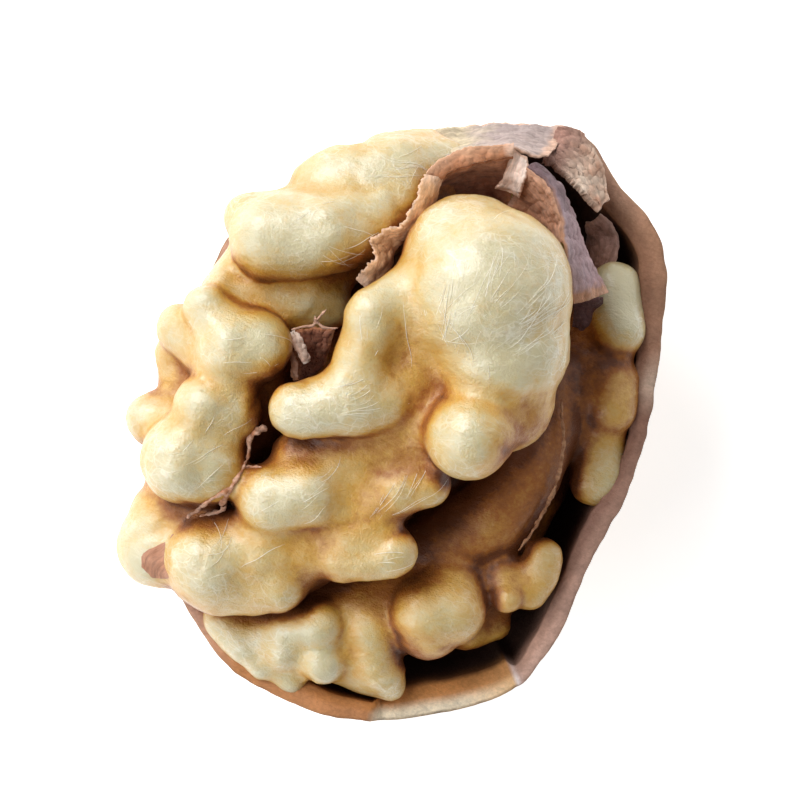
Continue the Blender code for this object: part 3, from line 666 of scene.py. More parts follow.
def shell_grid(wall, groove):
    """The half shell as one grid: rows run from the outer pole over the rim to the inner pole.

    A row of a bowl is the mouth's outline times the sine of its turn from the pole, at
    the depth times the cosine. Outside, wandering grooves and soft dents are sunk into
    it, less and less towards the worn spot it rests on. The rows between the two edges
    round off the rim.
    """
    columns, outer_rows, inner_rows, rim_steps = 432, 104, 56, 9
    angle = np.linspace(-math.pi, math.pi, columns, endpoint=False)
    degrees = np.degrees(angle)
    compass = np.stack([np.cos(angle), np.sin(angle), np.zeros(columns)], axis=1)
    ring = compass * RING_RADIUS
    wave = 0.20 * cloudy(ring, 3.2, 2, 3) + 0.04 * noise(ring, 0.8, 5)
    drop = bulges(degrees, RIM_DROPS)
    bite = heel_bite(degrees)
    wave = wave * (1.0 - 0.6 * bite)
    rough = 0.15 * cloudy(ring, 3.0, 2, 9) * (1.0 - 0.6 * bite)
    outer_rim = -drop - BITE_DROP * bite + rough
    inner_rim = -drop - INNER_BITE_DROP * bite + rough - INNER_RIM_DROP
    breadth = mouth_radius(angle) + wave
    thick = wall * (1.0 + 0.28 * cloudy(ring, 6.0, 2, 21)) + BITE_THICKENING * bite
    thick = thick + bulges(degrees, WALL_BULGES)
    outer_end = np.arccos(np.clip(-outer_rim / DEPTH, -1.0, 1.0))
    inner_end = np.arccos(np.clip(-inner_rim / INNER_DEPTH, -1.0, 1.0))
    outer = bowl_rows(breadth, outer_end, DEPTH, compass, np.linspace(0.004, 1.0, outer_rows))
    outer[..., 2] = np.maximum(outer[..., 2], -REST_DEPTH)
    normals = grid_normals(outer)
    warp = outer + 1.6 * np.stack([noise(outer, 4.5, s) for s in (31, 32, 33)], axis=-1)
    stretched = warp * np.array([1.0, 0.52, 1.0])
    veins = ridged(stretched, 3.4, 41) ** 3 + 0.5 * ridged(stretched, 1.7, 43) ** 3
    pits = ramp(noise(outer, 1.1, 45), 0.35, 0.8)
    fade = ramp(outer[..., 2], -REST_DEPTH + 0.3, -REST_DEPTH + 3.0)
    calm = 1.0 - 0.9 * ramp(np.linspace(0.0, 1.0, outer_rows)[:, None], 0.80, 0.96)
    sink = groove * veins + 0.16 * pits + 0.30 * (0.5 + 0.5 * cloudy(outer, 5.0, 2, 47))
    sink = sink * fade * calm
    sense = np.sign((normals * outer).sum(axis=2, keepdims=True))
    outer = outer - normals * sense * sink[..., None]
    edge_out = outer[-1]
    radius_in = (breadth - thick) * np.sin(inner_end)
    edge_in = np.stack([radius_in * compass[:, 0], radius_in * compass[:, 1], inner_rim], axis=1)
    rim = []
    for k in range(1, rim_steps):
        step = k / rim_steps
        row = edge_out * (1.0 - step) + edge_in * step
        row[:, 2] += RIM_SWELL * math.sin(math.pi * step) + 0.05 * cloudy(row, 1.2, 2, 51)
        rim.append(row)
    inner = bowl_rows(breadth - thick, inner_end, INNER_DEPTH, compass,
                      np.linspace(1.0, 0.006, inner_rows))
    middle = np.array([0.0, 0.0, -4.0])
    pull = 0.10 * cloudy(inner, 2.4, 3, 61)
    pull = pull * (1.0 - np.linspace(1.0, 0.0, inner_rows)[:, None] ** 8)
    inner += (middle - inner) * (pull / np.linalg.norm(middle - inner, axis=2))[..., None]
    grid = np.concatenate([outer, np.stack(rim), inner])
    zone = np.concatenate([np.zeros(outer_rows), np.arange(1, rim_steps) / rim_steps,
                           np.ones(inner_rows)])
    zone = np.broadcast_to(zone[:, None], grid.shape[:2])
    groove_map = np.zeros(grid.shape[:2])
    groove_map[:outer_rows] = np.clip(veins, 0.0, 1.0) * fade
    return grid, zone, groove_map, degrees


def shell_colours(grid, zone, groove_map, degrees, settings):
    """Colour of each point: ridges and grooves outside, the broken rim, the dark inside.

    The grooves' darker colour is painted shade, and the inside darkens with depth to nearly
    black, painted shade in the hollow. Round the rim the broken wall changes from mauve
    brown at the waist to tan at the tip, cream over orange in the bite at the heel, and
    orange brown past it; the pale outer edge is partly the broken wall's colour and partly
    painted light on the lit top of the rim, and the orange at the heel partly painted warm
    bounce light.
    """
    stops = [row[0] for row in RIM_COLOURS]
    rim_edge, rim_in = (
        np.stack([np.interp(degrees, stops, [row[side][k] for row in RIM_COLOURS])
                  for k in range(3)], axis=1)
        for side in (1, 2))
    stain_and_painted_light = 0.5 + 0.5 * cloudy(grid, 5.0, 3, 71)
    # Grooves get the darker groove colour: painted shade in the grooves.
    skin = mix(settings.ridge_colour, settings.groove_colour,
               np.clip(groove_map * 0.85 + 0.35 * stain_and_painted_light - 0.1, 0.0, 1.0))
    near_rim = ramp(grid[..., 2], -2.4, 0.2)
    skin = mix(skin, np.broadcast_to(rim_edge[None], grid.shape), near_rim * (zone < 0.01) * 0.8)
    turn_in = np.where(heel_bite(degrees) > 0.5, 0.20, 0.35)[None]
    band = mix(np.broadcast_to(rim_edge[None], grid.shape),
               np.broadcast_to(rim_in[None], grid.shape), ramp(zone, turn_in, turn_in + 0.4))
    # The inside darkens with depth towards nearly black: painted shade in the hollow.
    depth = np.clip(-grid[..., 2] / 5.0, 0.0, 1.0)
    dark = mix(np.broadcast_to(rim_in[None], grid.shape), SHELL_HOLLOW_SHADE, ramp(depth, 0.06, 0.8))
    colours = np.where((zone < 0.005)[..., None], skin, band)
    colours = np.where((zone > 0.995)[..., None], dark, colours)
    return colours * (0.92 + 0.16 * stain_and_painted_light)[..., None]


class WALNUT_OT_shell(bpy.types.Operator):
    """Build the kept half of the shell"""

    bl_idname = "walnut.shell"
    bl_label = "Shell"

    def execute(self, context):
        settings = context.scene.walnut.shell
        grid, zone, groove_map, degrees = shell_grid(settings.wall, settings.groove)
        colours = shell_colours(grid, zone, groove_map, degrees, settings)
        rows, columns = grid.shape[:2]
        faces = grid_faces(rows, columns, closed=True)
        points = grid.reshape(-1, 3)
        poles = np.stack([grid[0].mean(axis=0), grid[-1].mean(axis=0)])
        tint = np.concatenate([colours.reshape(-1, 3), colours[0, :1], colours[-1, :1]])
        band = np.concatenate([zone.ravel(), [0.0, 1.0]])
        cut = np.concatenate([groove_map.ravel(), [0.0, 0.0]])
        # This colour holds the shell's own colours and its painted shade in the hollow and grooves.
        values = {"stain_and_painted_light": opaque(tint), "zone": band, "groove": cut}
        new_piece("shell_half", np.concatenate([points, poles]), faces, shell_material(),
                  "shell", values, end_caps(rows, columns))
        return {"FINISHED"}


class WALNUT_OT_flap(bpy.types.Operator):
    """Build the flap of shell cracked loose at the tip"""

    bl_idname = "walnut.flap"
    bl_label = "Loose flap"

    def execute(self, context):
        settings = context.scene.walnut.shell
        grid, reach = sheet(TIP_FLAP, 150, 70, bow=0.5, ripple=0.10, ripple_size=1.3,
                            tear=(0.05, 0.13), seed=101)
        layers = ridged(grid * np.array([1.0, 1.0, 0.4]), 1.5, 103) ** 2
        grid[..., 2] += 0.10 * layers
        thickness = settings.flap * (0.55 + 0.45 * edge_fade(grid, 0.5))
        points, faces = slab(grid, thickness)
        tone = np.clip(0.55 + 0.5 * cloudy(grid, 1.8, 3, 105) - 0.4 * layers, 0.0, 1.0)
        colours = mix(PINK_TAN, (0.78, 0.64, 0.52), tone)
        colours = mix((0.38, 0.21, 0.165), colours, ramp(reach[..., 0] + 0.5 * layers, 0.8, 4.0))
        values = sheet_values(colours, reach)
        new_piece("tip_flap", points, faces, paper_material("flap_skin", 0.35), "shell_flap",
                  values)
        return {"FINISHED"}


# ===================================================================== kernel
def run_distance(points, start, end):
    """Distance to a tapered run between two balls: from its axis, less the radius there."""
    axis = end[:3] - start[:3]
    step = np.clip((points - start[:3]) @ axis / max(axis @ axis, TINY), 0.0, 1.0)
    away = points - start[:3] - step[:, None] * axis
    return np.sqrt((away * away).sum(axis=1)) - (start[3] + (end[3] - start[3]) * step)


def fold_distances(points, folds):
    """For each fold, the least distance to any of its runs."""
    rows = []
    for _tan, beads in folds:
        beads = np.array(beads)
        if len(beads) == 1:
            beads = np.repeat(beads, 2, axis=0)
        runs = [run_distance(points, a, b) for a, b in zip(beads, beads[1:])]
        rows.append(np.minimum.reduce(runs))
    return np.stack(rows)


def egg_distance(points):
    """Roughly the distance to the bulk of the rear half, an egg with a deep belly."""
    centre, half, lower = REAR_BODY
    off = points - centre
    tall = np.where(off[:, 2] < 0.0, lower, half[2])
    reach = np.sqrt((off[:, 0] / half[0]) ** 2 + (off[:, 1] / half[1]) ** 2
                    + (off[:, 2] / tall) ** 2)
    return (reach - 1.0) * 8.0


def folds_of(half):
    """The folds of one half of the kernel."""
    if half == "front":
        return list(CENTRE_LOBE.values()) + list(LEFT_LOBE.values())
    return list(REAR_HALF.values())


def half_distance(points, half):
    """Soft union of a half's folds: minus the log of the sum of falling exponentials."""
    rows = fold_distances(points, folds_of(half))
    if half == "rear":
        rows = np.concatenate([rows, egg_distance(points)[None]])
    melt, sink = MELT[half]
    return -melt * np.log(np.exp(-rows / melt).sum(axis=0) + 1e-300) + sink


def half_tan(points, half):
    """How tan the skin is: the folds' own values, weighed by how near each is, and brown
    stains, two of them painted shade on the crown's lower right.
    """
    rows = fold_distances(points, folds_of(half))
    weight = np.exp(-rows / 0.8)
    tan = np.array([fold[0] for fold in folds_of(half)])
    total = (weight * tan[:, None]).sum(axis=0) / (weight.sum(axis=0) + 1e-30)
    for middle, reach, strength in STAINS_AND_SHADE:
        away = ((points - middle) ** 2).sum(axis=1) / reach**2
        total += strength * np.exp(-away * (1.0 + 0.6 * noise(points, 0.9, 57)))
    return total


def slope(points, half):
    """Steepest direction of the distance, from differences along each axis."""
    reach = 0.04
    columns = []
    for axis in np.eye(3) * reach:
        rise = half_distance(points + axis, half) - half_distance(points - axis, half)
        columns.append(rise / (2.0 * reach))
    return np.stack(columns, axis=1)


def unit(vectors):
    """The vectors at length 1."""
    return vectors / np.maximum(np.linalg.norm(vectors, axis=1, keepdims=True), TINY)


def onto_skin(points, half):
    """Move points along the slope until the distance is nil."""
    for _ in range(2):
        steep = slope(points, half)
        scale = half_distance(points, half) / np.maximum((steep * steep).sum(axis=1), 0.05)
        points = points - steep * scale[:, None]
    return points


def skin_net(half, cell):
    """Points and quads of a half's skin.

    The distance is worked out on a cubic grid. Each cell that the skin passes through
    gets one point, the mean of the skin's crossings of the cell's edges, and each
    crossed grid edge gets one quad between the four cells round it.
    """
    beads = np.array([bead for fold in folds_of(half) for bead in fold[1]])
    low = (beads[:, :3] - beads[:, 3:]).min(axis=0) - 4.0 * cell
    high = (beads[:, :3] + beads[:, 3:]).max(axis=0) + 4.0 * cell
    if half == "rear":
        centre, size, lower = (np.array(part) for part in REAR_BODY)
        low = np.minimum(low, centre - np.array([size[0], size[1], lower]) - 4.0 * cell)
        high = np.maximum(high, centre + size + 4.0 * cell)
    axes = [np.arange(a, b, cell) for a, b in zip(low, high)]
    shape = tuple(len(axis) for axis in axes)
    places = np.stack(np.meshgrid(*axes, indexing="ij"), axis=-1).reshape(-1, 3)
    parts = np.array_split(places, max(1, len(places) // 60000))
    field = np.concatenate([half_distance(part, half) for part in parts]).reshape(shape)
    total = np.zeros((field.size, 3))
    count = np.zeros(field.size)
    corners = []
    for axis in range(3):
        u, v = (axis + 1) % 3, (axis + 2) % 3
        here = np.take(field, range(shape[axis] - 1), axis)
        there = np.take(field, range(1, shape[axis]), axis)
        crossed = np.argwhere((here < 0) != (there < 0))
        near = here[tuple(crossed.T)]
        far = there[tuple(crossed.T)]
        point = crossed.astype(float)
        point[:, axis] += near / (near - far)
        quad = []
        for du, dv in ((0, 0), (1, 0), (1, 1), (0, 1)):
            cell_at = crossed.copy()
            cell_at[:, u] -= du
            cell_at[:, v] -= dv
            flat = np.ravel_multi_index(cell_at.T, shape)
            for k in range(3):
                total[:, k] += np.bincount(flat, point[:, k], field.size)
            count += np.bincount(flat, minlength=field.size)
            quad.append(flat)
        quad = np.stack(quad, axis=1)
        turned = near > 0
        quad[turned] = quad[turned][:, ::-1]
        corners.append(quad)
    used = np.flatnonzero(count)
    number = np.full(field.size, -1)
    number[used] = np.arange(len(used))
    points = low + total[used] / count[used, None] * cell
    return points, number[np.concatenate(corners)]


def relaxed(points, faces, rounds):
    """Even out the skin: points go to the mean of their neighbours and partly back."""
    edges = np.concatenate([faces[:, [k, (k + 1) % 4]] for k in range(4)])
    start, end = edges[:, 0], edges[:, 1]
    degree = np.bincount(start, minlength=len(points))[:, None]
    for k in range(2 * rounds):
        mean = np.stack([np.bincount(start, points[end, a], len(points))
                         for a in range(3)], axis=1)
        points = points + (mean / degree - points) * (0.55 if k % 2 == 0 else -0.50)
    return points


def crease_depth(points, normals):
    """0 in the open, 1 deep in a crease: how much nearer than expected the kernel is.
    In the skin's colour it browns the creases: partly their own browner skin, partly painted shade.

    A few steps out along the normal, the distance to the skin should equal the step;
    where other folds stand close, it is less.
    """
    total = np.zeros(len(points))
    for step, weight in CREASE_STEPS:
        out = points + normals * step
        gap = np.minimum(half_distance(out, "front"), half_distance(out, "rear"))
        total += weight * np.clip(1.0 - gap / step, 0.0, 1.0)
    return total


def kernel_half(half, settings):
    """Points, quads and values of one half, with dimples and wrinkles raised on it."""
    points, faces = skin_net(half, settings.cell)
    points = relaxed(points, faces, 4)
    points = onto_skin(points, half)
    points = relaxed(points, faces, 7)
    normals = unit(slope(points, half))
    crease = crease_depth(points, normals)
    tan = half_tan(points, half)
    dimples = cloudy(points, 3.2, 3, 5) * settings.dimple
    wrinkles = (cloudy(points, 0.9, 2, 15) + 0.8 * ridged(points, 1.3, 17)) * settings.wrinkle
    rough = ramp(crease, 0.18, 0.55)
    seams = ridged(points, 3.4, 19) ** 4 * ramp(noise(points, 5.0, 27), -0.25, 0.35)
    points = points + normals * (dimples - 0.13 * seams + wrinkles * (0.25 + rough))[:, None]
    # The seams also darken the skin's colour: painted shade along their grooves.
    crease = crease + 0.16 * seams
    # crease and flank darken the skin's colour: crease partly the creases' own browner skin and
    # partly painted shade, flank painted shade on the steep sides of the folds.
    values = {"crease": crease, "tan": tan, "flank": np.clip(1.0 - normals[:, 2], 0.0, 1.3)}
    return points, faces, values


class WALNUT_OT_kernel(bpy.types.Operator):
    """Build both halves of the kernel"""

    bl_idname = "walnut.kernel"
    bl_label = "Kernel"

    def execute(self, context):
        settings = context.scene.walnut.kernel
        skin = kernel_material(settings)
        for half, node, slot in (("front", "kernel_front_half", "kernel"),
                                 ("rear", "kernel_rear_half", "kernel_rear")):
            points, faces, values = kernel_half(half, settings)
            piece = new_piece(half + "_kernel", points, faces, skin, node, values)
            finer = piece.modifiers.new("finer", "SUBSURF")
            finer.levels = 1
            finer.render_levels = 1
        return {"FINISHED"}


def drop_onto_front(plan):
    """Let points fall from above onto the front half; those that miss it are left out."""
    points = np.concatenate([plan, np.full((len(plan), 1), FALL_FROM)], axis=1)
    for _ in range(40):
        points[:, 2] -= np.maximum(half_distance(points, "front"), 0.0) * 0.9
    return points[np.abs(half_distance(points, "front")) < 0.05]


def front_height(plan):
    """Height of the front half's top at points of the plan."""
    points = np.concatenate([plan, np.full((len(plan), 1), FALL_FROM)], axis=1)
    for _ in range(60):
        points[:, 2] -= np.clip(half_distance(points, "front"), 0.0, None) * 0.9
        points[:, 2] = np.maximum(points[:, 2], FALL_TO)
    return points[:, 2]


def vein_paths():
    """Threads that wander over the skin.

    All threads step at once: a short way along a heading in the skin's tangent plane,
    back onto the skin, then the heading turns by noise that neighbours share, so they
    run in bundles.
    """
    rng = np.random.default_rng(23)
    starts, headings, lengths = [], [], []
    for (x, y), spread, heading, turn, count, length in VEIN_PATCHES:
        plan = rng.normal((x, y), spread * 0.5, (count, 2))
        landed = drop_onto_front(plan)
        sway = 2.2 * turn * noise(landed, 2.2, 91) + rng.uniform(-7.0, 7.0, len(landed))
        angle = np.radians(heading + sway)
        starts.append(landed)
        headings.append(np.stack([np.cos(angle), np.sin(angle), 0.0 * angle], axis=1))
        lengths.append(length * rng.uniform(0.5, 1.4, len(landed)))
    points = np.concatenate(starts)
    heading = np.concatenate(headings)
    length = np.concatenate(lengths)
    path = []
    for _ in range(VEIN_STEPS):
        normal = unit(slope(points, "front"))
        path.append(points - normal * 0.004)
        heading = unit(heading - (heading * normal).sum(axis=1, keepdims=True) * normal)
        side = np.cross(normal, heading)
        bend = 0.13 * noise(points, 1.7, 93) + 0.05 * noise(points + path[0], 0.5, 95)
        heading = heading + side * bend[:, None]
        points = points + heading * (length / VEIN_STEPS)[:, None] * 1.1
        gap = half_distance(points, "front")
        points = points - normal * gap[:, None]
    return np.stack(path, axis=1)


class WALNUT_OT_skins(bpy.types.Operator):
    """Lay the reddish skin patch and the crumbly ridge on the kernel"""

    bl_idname = "walnut.skins"
    bl_label = "Skin patch and ridge"

    def execute(self, context):
        drape = [[(x, y, z + 0.05) for (x, y), z in zip(edge, front_height(np.array(edge)))]
                 for edge in SKIN_PATCH]
        grid, reach = sheet(drape, 80, 60, ripple=0.0, tear=(0.05, 0.03), seed=401)
        plan = grid.reshape(-1, 3)[:, :2]
        grid[..., 2] = np.minimum(front_height(plan), PATCH_TOP).reshape(grid.shape[:2]) + 0.05
        points, faces = slab(grid, 0.12 * (0.4 + 0.6 * edge_fade(grid, 0.15)))
        tone = np.clip(0.5 + 0.6 * cloudy(grid, 1.2, 3, 403), 0.0, 1.0)
        colours = mix((0.42, 0.19, 0.11), (0.56, 0.30, 0.20), tone)
        paper = paper_material("skin_patch", 0.5)
        new_piece("skin_patch", points, faces, paper, None,
                  sheet_values(colours, reach))
        tubes, quads, caps = crumbly_threads(BAND_RIDGE, 411)
        new_piece("band_ridge", tubes, quads, paper, None,
                  thread_values(tubes, (0.30, 0.13, 0.06), (0.50, 0.27, 0.15), 413), caps)
        return {"FINISHED"}


class WALNUT_OT_veins(bpy.types.Operator):
    """Lay the fine pale veins over the front half of the kernel"""

    bl_idname = "walnut.veins"
    bl_label = "Veins"

    def execute(self, context):
        settings = context.scene.walnut.kernel
        rng = np.random.default_rng(29)
        parts = []
        for path in vein_paths():
            swell = np.sin(np.linspace(0.06, math.pi - 0.06, len(path))) ** 0.6
            parts.append(tube(path, swell * settings.vein * rng.uniform(0.5, 1.3), sides=5))
        points, quads, caps = join(parts)
        new_piece("kernel_veins", points, quads, vein_material(), None, None, caps)
        return {"FINISHED"}


# ===================================================================== septum
def sheet(edges, along, across, bow=0.0, ripple=0.1, ripple_size=1.2, tear=(0.0, 0.0), seed=0):
    """The middle surface of a torn sheet, as a grid, and each point's place on it in mm.

    Cross lines run straight between two smooth edges. Noise slides the two ends of
    each line inwards, so the edges are ragged; the sheet bows and ripples along its
    normal.
    """
    first = smooth_line(edges[0], along)
    second = smooth_line(edges[1], along)
    walk = np.concatenate([[0.0], np.linalg.norm(np.diff(first, axis=0), axis=1).cumsum()])
    line = np.stack([walk, np.full(along, seed * 1.7), np.zeros(along)], axis=1)
    rag_a = 0.5 + 0.5 * cloudy(line, 1.1, 4, seed + 1) + 0.25 * noise(line, 0.16, seed + 2)
    rag_b = 0.5 + 0.5 * cloudy(line, 1.0, 4, seed + 3) + 0.25 * noise(line, 0.14, seed + 4)
    start = tear[0] * rag_a
    end = 1.0 - tear[1] * rag_b
    step = np.linspace(0.0, 1.0, across)[None, :]
    share = start[:, None] + (end - start)[:, None] * step
    grid = first[:, None] * (1.0 - share[..., None]) + second[:, None] * share[..., None]
    width = np.linalg.norm(second - first, axis=1)[:, None]
    reach = np.stack([np.broadcast_to(walk[:, None], share.shape), share * width,
                      np.full(share.shape, float(seed))], axis=-1)
    lift = bow * 4.0 * share * (1.0 - share) + ripple * cloudy(grid, ripple_size, 3, seed + 5)
    lift = lift + 0.06 * noise(grid, 0.42, seed + 6) + 0.03 * noise(grid, 0.2, seed + 7)
    return grid + grid_normals(grid) * lift[..., None], reach


def edge_fade(grid, width):
    """0 at the border of a sheet's grid, rising to 1 a given share of the way in."""
    rows, columns = grid.shape[:2]
    u = np.minimum(np.arange(rows), np.arange(rows)[::-1]) / (rows * 0.5)
    v = np.minimum(np.arange(columns), np.arange(columns)[::-1]) / (columns * 0.5)
    return ramp(np.minimum(u[:, None] / 0.3, v[None, :] / width), 0.0, 1.0)


def sheet_values(colours, reach):
    """Attributes for both sides of a slab."""
    tint = opaque(colours.reshape(-1, 3))
    place = reach.reshape(-1, 3)
    # The sheets' colours include painted light and shade on the post and the back flap.
    return {"stain_and_painted_light": np.concatenate([tint, tint]), "reach": np.concatenate([place, place])}


def papery(edges, colours, settings, **shape):
    """One torn sheet as (points, faces, values): its slab and its colours.

    The colours come in the order that the tables of sheets give them.
    """
    grid, reach = sheet(edges, **shape)
    rows, columns = grid.shape[:2]
    step = np.linspace(0.0, 1.0, columns)[None, :] + 0.25 * cloudy(grid, 1.4, 2, shape["seed"] + 9)
    tint = mix(colours[0], colours[1], np.clip(step, 0.0, 1.0))
    fade = edge_fade(grid, 0.12)
    tint = mix(colours[2], tint, ramp(fade + 0.25 * noise(grid, 0.4, shape["seed"]), 0.1, 0.8))
    if len(colours) > 3:
        begun = np.linspace(0.0, 1.0, rows)[:, None]
        begun = begun + 0.12 * cloudy(grid, 1.2, 2, shape["seed"] + 8)
        tint = mix(colours[3], tint, ramp(begun, 0.12, 0.55))
    thickness = settings.sheet * (0.35 + 0.65 * fade)
    points, faces = slab(grid, thickness)
    return points, faces, sheet_values(tint, reach)


def torn_sheets(rows, settings, **shape):
    """The papery sheets of one of the tables of sheets."""
    return [papery(edges, colours, settings, bow=bow, tear=tear, seed=seed, **shape)
            for edges, colours, bow, tear, seed in rows]


def joined_sheets(sheets):
    """Several papery sheets as one set of points, faces and values."""
    points, faces, values = [], [], {"stain_and_painted_light": [], "reach": []}
    start = 0
    for sheet_points, sheet_faces, sheet_map in sheets:
        points.append(sheet_points)
        faces.append(sheet_faces + start)
        start += len(sheet_points)
        for key in values:
            values[key].append(sheet_map[key])
    values = {key: np.concatenate(rows) for key, rows in values.items()}
    return np.concatenate(points), np.concatenate(faces), values


class WALNUT_OT_septum(bpy.types.Operator):
    """Build the torn septum round the crown and its flap behind"""

    bl_idname = "walnut.septum"
    bl_label = "Septum"

    def execute(self, context):
        settings = context.scene.walnut.septum
        big = {"along": 156, "across": 42, "ripple": settings.ripple, "ripple_size": 1.2}
        sheets = torn_sheets(SEPTUM_SHEETS, settings, **big)
        points, faces, values = joined_sheets(sheets)
        paper = paper_material("septum_skin", 1.0)
        new_piece("torn_septum", points, faces, paper, "septum", values)
        dark = torn_sheets(BACK_SHEETS, settings, **big)
        points, faces, values = joined_sheets(dark)
        new_piece("back_flap", points, faces, paper, "septum_back_flap", values)
        return {"FINISHED"}


def crumbly_threads(rows, seed, over_kernel=False):
    """Threads of torn septum: tubes along smooth lines, with a rough, swelling girth."""
    parts = []
    for k, (first, last, points) in enumerate(rows):
        path = smooth_line(points, 60)
        if over_kernel:
            path[:, 2] = np.maximum(path[:, 2], front_height(path[:, :2]) + 0.05)
        path = path + 0.05 * np.stack([noise(path, 0.5, seed + s) for s in (1, 2, 3)], axis=1)
        girth = np.linspace(first, last, 60) * (1.0 + 0.45 * cloudy(path, 0.45, 2, seed + 4 + k))
        girth = girth * np.minimum(1.0, np.sin(np.linspace(0.12, math.pi - 0.12, 60)) * 3.0)
        thread = tube(path, girth, sides=10)
        rough = cloudy(thread[0], 0.34, 2, seed + 20)[:, None] * 0.55
        centre = np.concatenate([np.repeat(path, 10, axis=0), path[:1], path[-1:]])
        parts.append((centre + (thread[0] - centre) * (1.0 + rough), thread[1], thread[2]))
    return join(parts)


def thread_values(points, low, high, seed):
    """Stain and place for the points of threads."""
    tone = np.clip(0.5 + 0.8 * cloudy(points, 0.5, 2, seed), 0.0, 1.0)
    return {"stain_and_painted_light": opaque(mix(low, high, tone)), "reach": points}


class WALNUT_OT_fragments(bpy.types.Operator):
    """Build the torn bits of septum in the channel left of the crown"""

    bl_idname = "walnut.fragments"
    bl_label = "Septum fragments"

    def execute(self, context):
        settings = context.scene.walnut.septum
        small = {"along": 90, "across": 40, "ripple": settings.ripple, "ripple_size": 0.8}
        sheets = torn_sheets(FRAGMENT_SHEETS, settings, **small)
        points, faces, values = joined_sheets(sheets)
        tubes, quads, caps = crumbly_threads(UPPER_THREADS, 331)
        start = len(points)
        more = thread_values(tubes, PINK_TAN, PALE_PINK, 333)
        values = {key: np.concatenate([values[key], more[key]]) for key in values}
        paper = paper_material("fragment_skin", 1.0)
        new_piece("upper_fragment", np.concatenate([points, tubes]),
                  np.concatenate([faces, quads + start]), paper, "septum_upper_fragment",
                  values, caps + start)
        tubes, quads, caps = crumbly_threads(LOWER_THREADS, 341, over_kernel=True)
        new_piece("lower_fragment", tubes, quads, paper, "septum_lower_fragment",
                  thread_values(tubes, RUST, PALE_PINK, 343), caps)
        return {"FINISHED"}


# ================================================================== materials
def fill_inputs(tree, node, inputs):
    """Give a node its inputs: sockets are linked, values are set."""
    for key, value in inputs.items():
        if isinstance(value, bpy.types.NodeSocket):
            tree.links.new(value, node.inputs[key])
        else:
            node.inputs[key].default_value = value


def add_node(tree, kind, inputs=None, **settings):
    """A shader node with its settings and its inputs."""
    node = tree.nodes.new(kind)
    for key, value in settings.items():
        setattr(node, key, value)
    fill_inputs(tree, node, inputs or {})
    return node


def maths(tree, operation, *values, clamp=False):
    """The result of one Math node."""
    node = add_node(tree, "ShaderNodeMath", dict(enumerate(values)), operation=operation)
    node.use_clamp = clamp
    return node.outputs[0]


def product(tree, first, *others):
    """Values multiplied together, two at a time from the left."""
    for other in others:
        first = maths(tree, "MULTIPLY", first, other)
    return first


def vector_maths(tree, operation, inputs):
    """The result of one Vector Math node."""
    return add_node(tree, "ShaderNodeVectorMath", inputs, operation=operation).outputs[0]


def noise_texture(tree, place, scale, **more):
    """The value of a Noise Texture node."""
    inputs = {"Vector": place, "Scale": scale, **more}
    return add_node(tree, "ShaderNodeTexNoise", inputs).outputs[0]


def spread(tree, value, low, high, to_low=0.0, to_high=1.0, **settings):
    """A value's range from low to high, stretched to another range by a Map Range node."""
    inputs = {"Value": value, "From Min": low, "From Max": high, "To Min": to_low,
              "To Max": to_high}
    return add_node(tree, "ShaderNodeMapRange", inputs, **settings).outputs[0]


def blended(tree, share, first, second, kind="MIX"):
    """The result of one Mix node on colours."""
    first, second = (part if isinstance(part, bpy.types.NodeSocket) else (*part, 1.0)
                     for part in (first, second))
    return add_node(tree, "ShaderNodeMix", {0: share, 6: first, 7: second},
                    data_type="RGBA", blend_type=kind).outputs[2]


def bumps(tree, *rows):
    """The normal after a chain of Bump nodes: height, strength, distance in millimetres."""
    inputs = {}
    for height, strength, distance in rows:
        inputs.update({"Height": height, "Strength": strength, "Distance": distance * MM})
        inputs["Normal"] = add_node(tree, "ShaderNodeBump", inputs).outputs[0]
    return inputs["Normal"]


def fibres_group():
    """Fine fibres: warped, stretched noise and the thin lines between its cells."""
    name = "Fine fibres"
    if name in bpy.data.node_groups:
        return bpy.data.node_groups[name]
    tree = bpy.data.node_groups.new(name, "ShaderNodeTree")
    tree.interface.new_socket("Vector", in_out="INPUT", socket_type="NodeSocketVector")
    for key in ("Scale", "Stretch", "Warp"):
        tree.interface.new_socket(key, in_out="INPUT", socket_type="NodeSocketFloat")
    for key in ("Streaks", "Lines"):
        tree.interface.new_socket(key, in_out="OUTPUT", socket_type="NodeSocketFloat")
    start = tree.nodes.new("NodeGroupInput").outputs
    bent = add_node(tree, "ShaderNodeTexNoise", {"Vector": start["Vector"], "Scale": 0.5})
    off = vector_maths(tree, "SUBTRACT", {0: bent.outputs["Color"], 1: (0.5, 0.5, 0.5)})
    push = vector_maths(tree, "SCALE", {0: off, "Scale": start["Warp"]})
    moved = vector_maths(tree, "ADD", {0: start["Vector"], 1: push})
    shrink = maths(tree, "DIVIDE", 1.0, start["Stretch"])
    squeeze = add_node(tree, "ShaderNodeCombineXYZ", {"X": shrink, "Y": 1.0, "Z": 1.0})
    longer = vector_maths(tree, "MULTIPLY", {0: moved, 1: squeeze.outputs[0]})
    cells = add_node(tree, "ShaderNodeTexVoronoi", {"Vector": longer, "Scale": start["Scale"]},
                     feature="DISTANCE_TO_EDGE")
    add_node(tree, "NodeGroupOutput", {
        "Streaks": noise_texture(tree, longer, start["Scale"], Detail=4.0, Roughness=0.6),
        "Lines": spread(tree, cells.outputs["Distance"], 0.0, 0.055, 1.0, 0.0,
                        interpolation_type="SMOOTHSTEP")})
    return tree


def fibres(tree, place, scale, stretch, warp):
    """Streaks and lines of the fine fibres, placed in a material."""
    inputs = {"Vector": place, "Scale": scale, "Stretch": stretch, "Warp": warp}
    outputs = add_node(tree, "ShaderNodeGroup", inputs, node_tree=fibres_group()).outputs
    return outputs["Streaks"], outputs["Lines"]


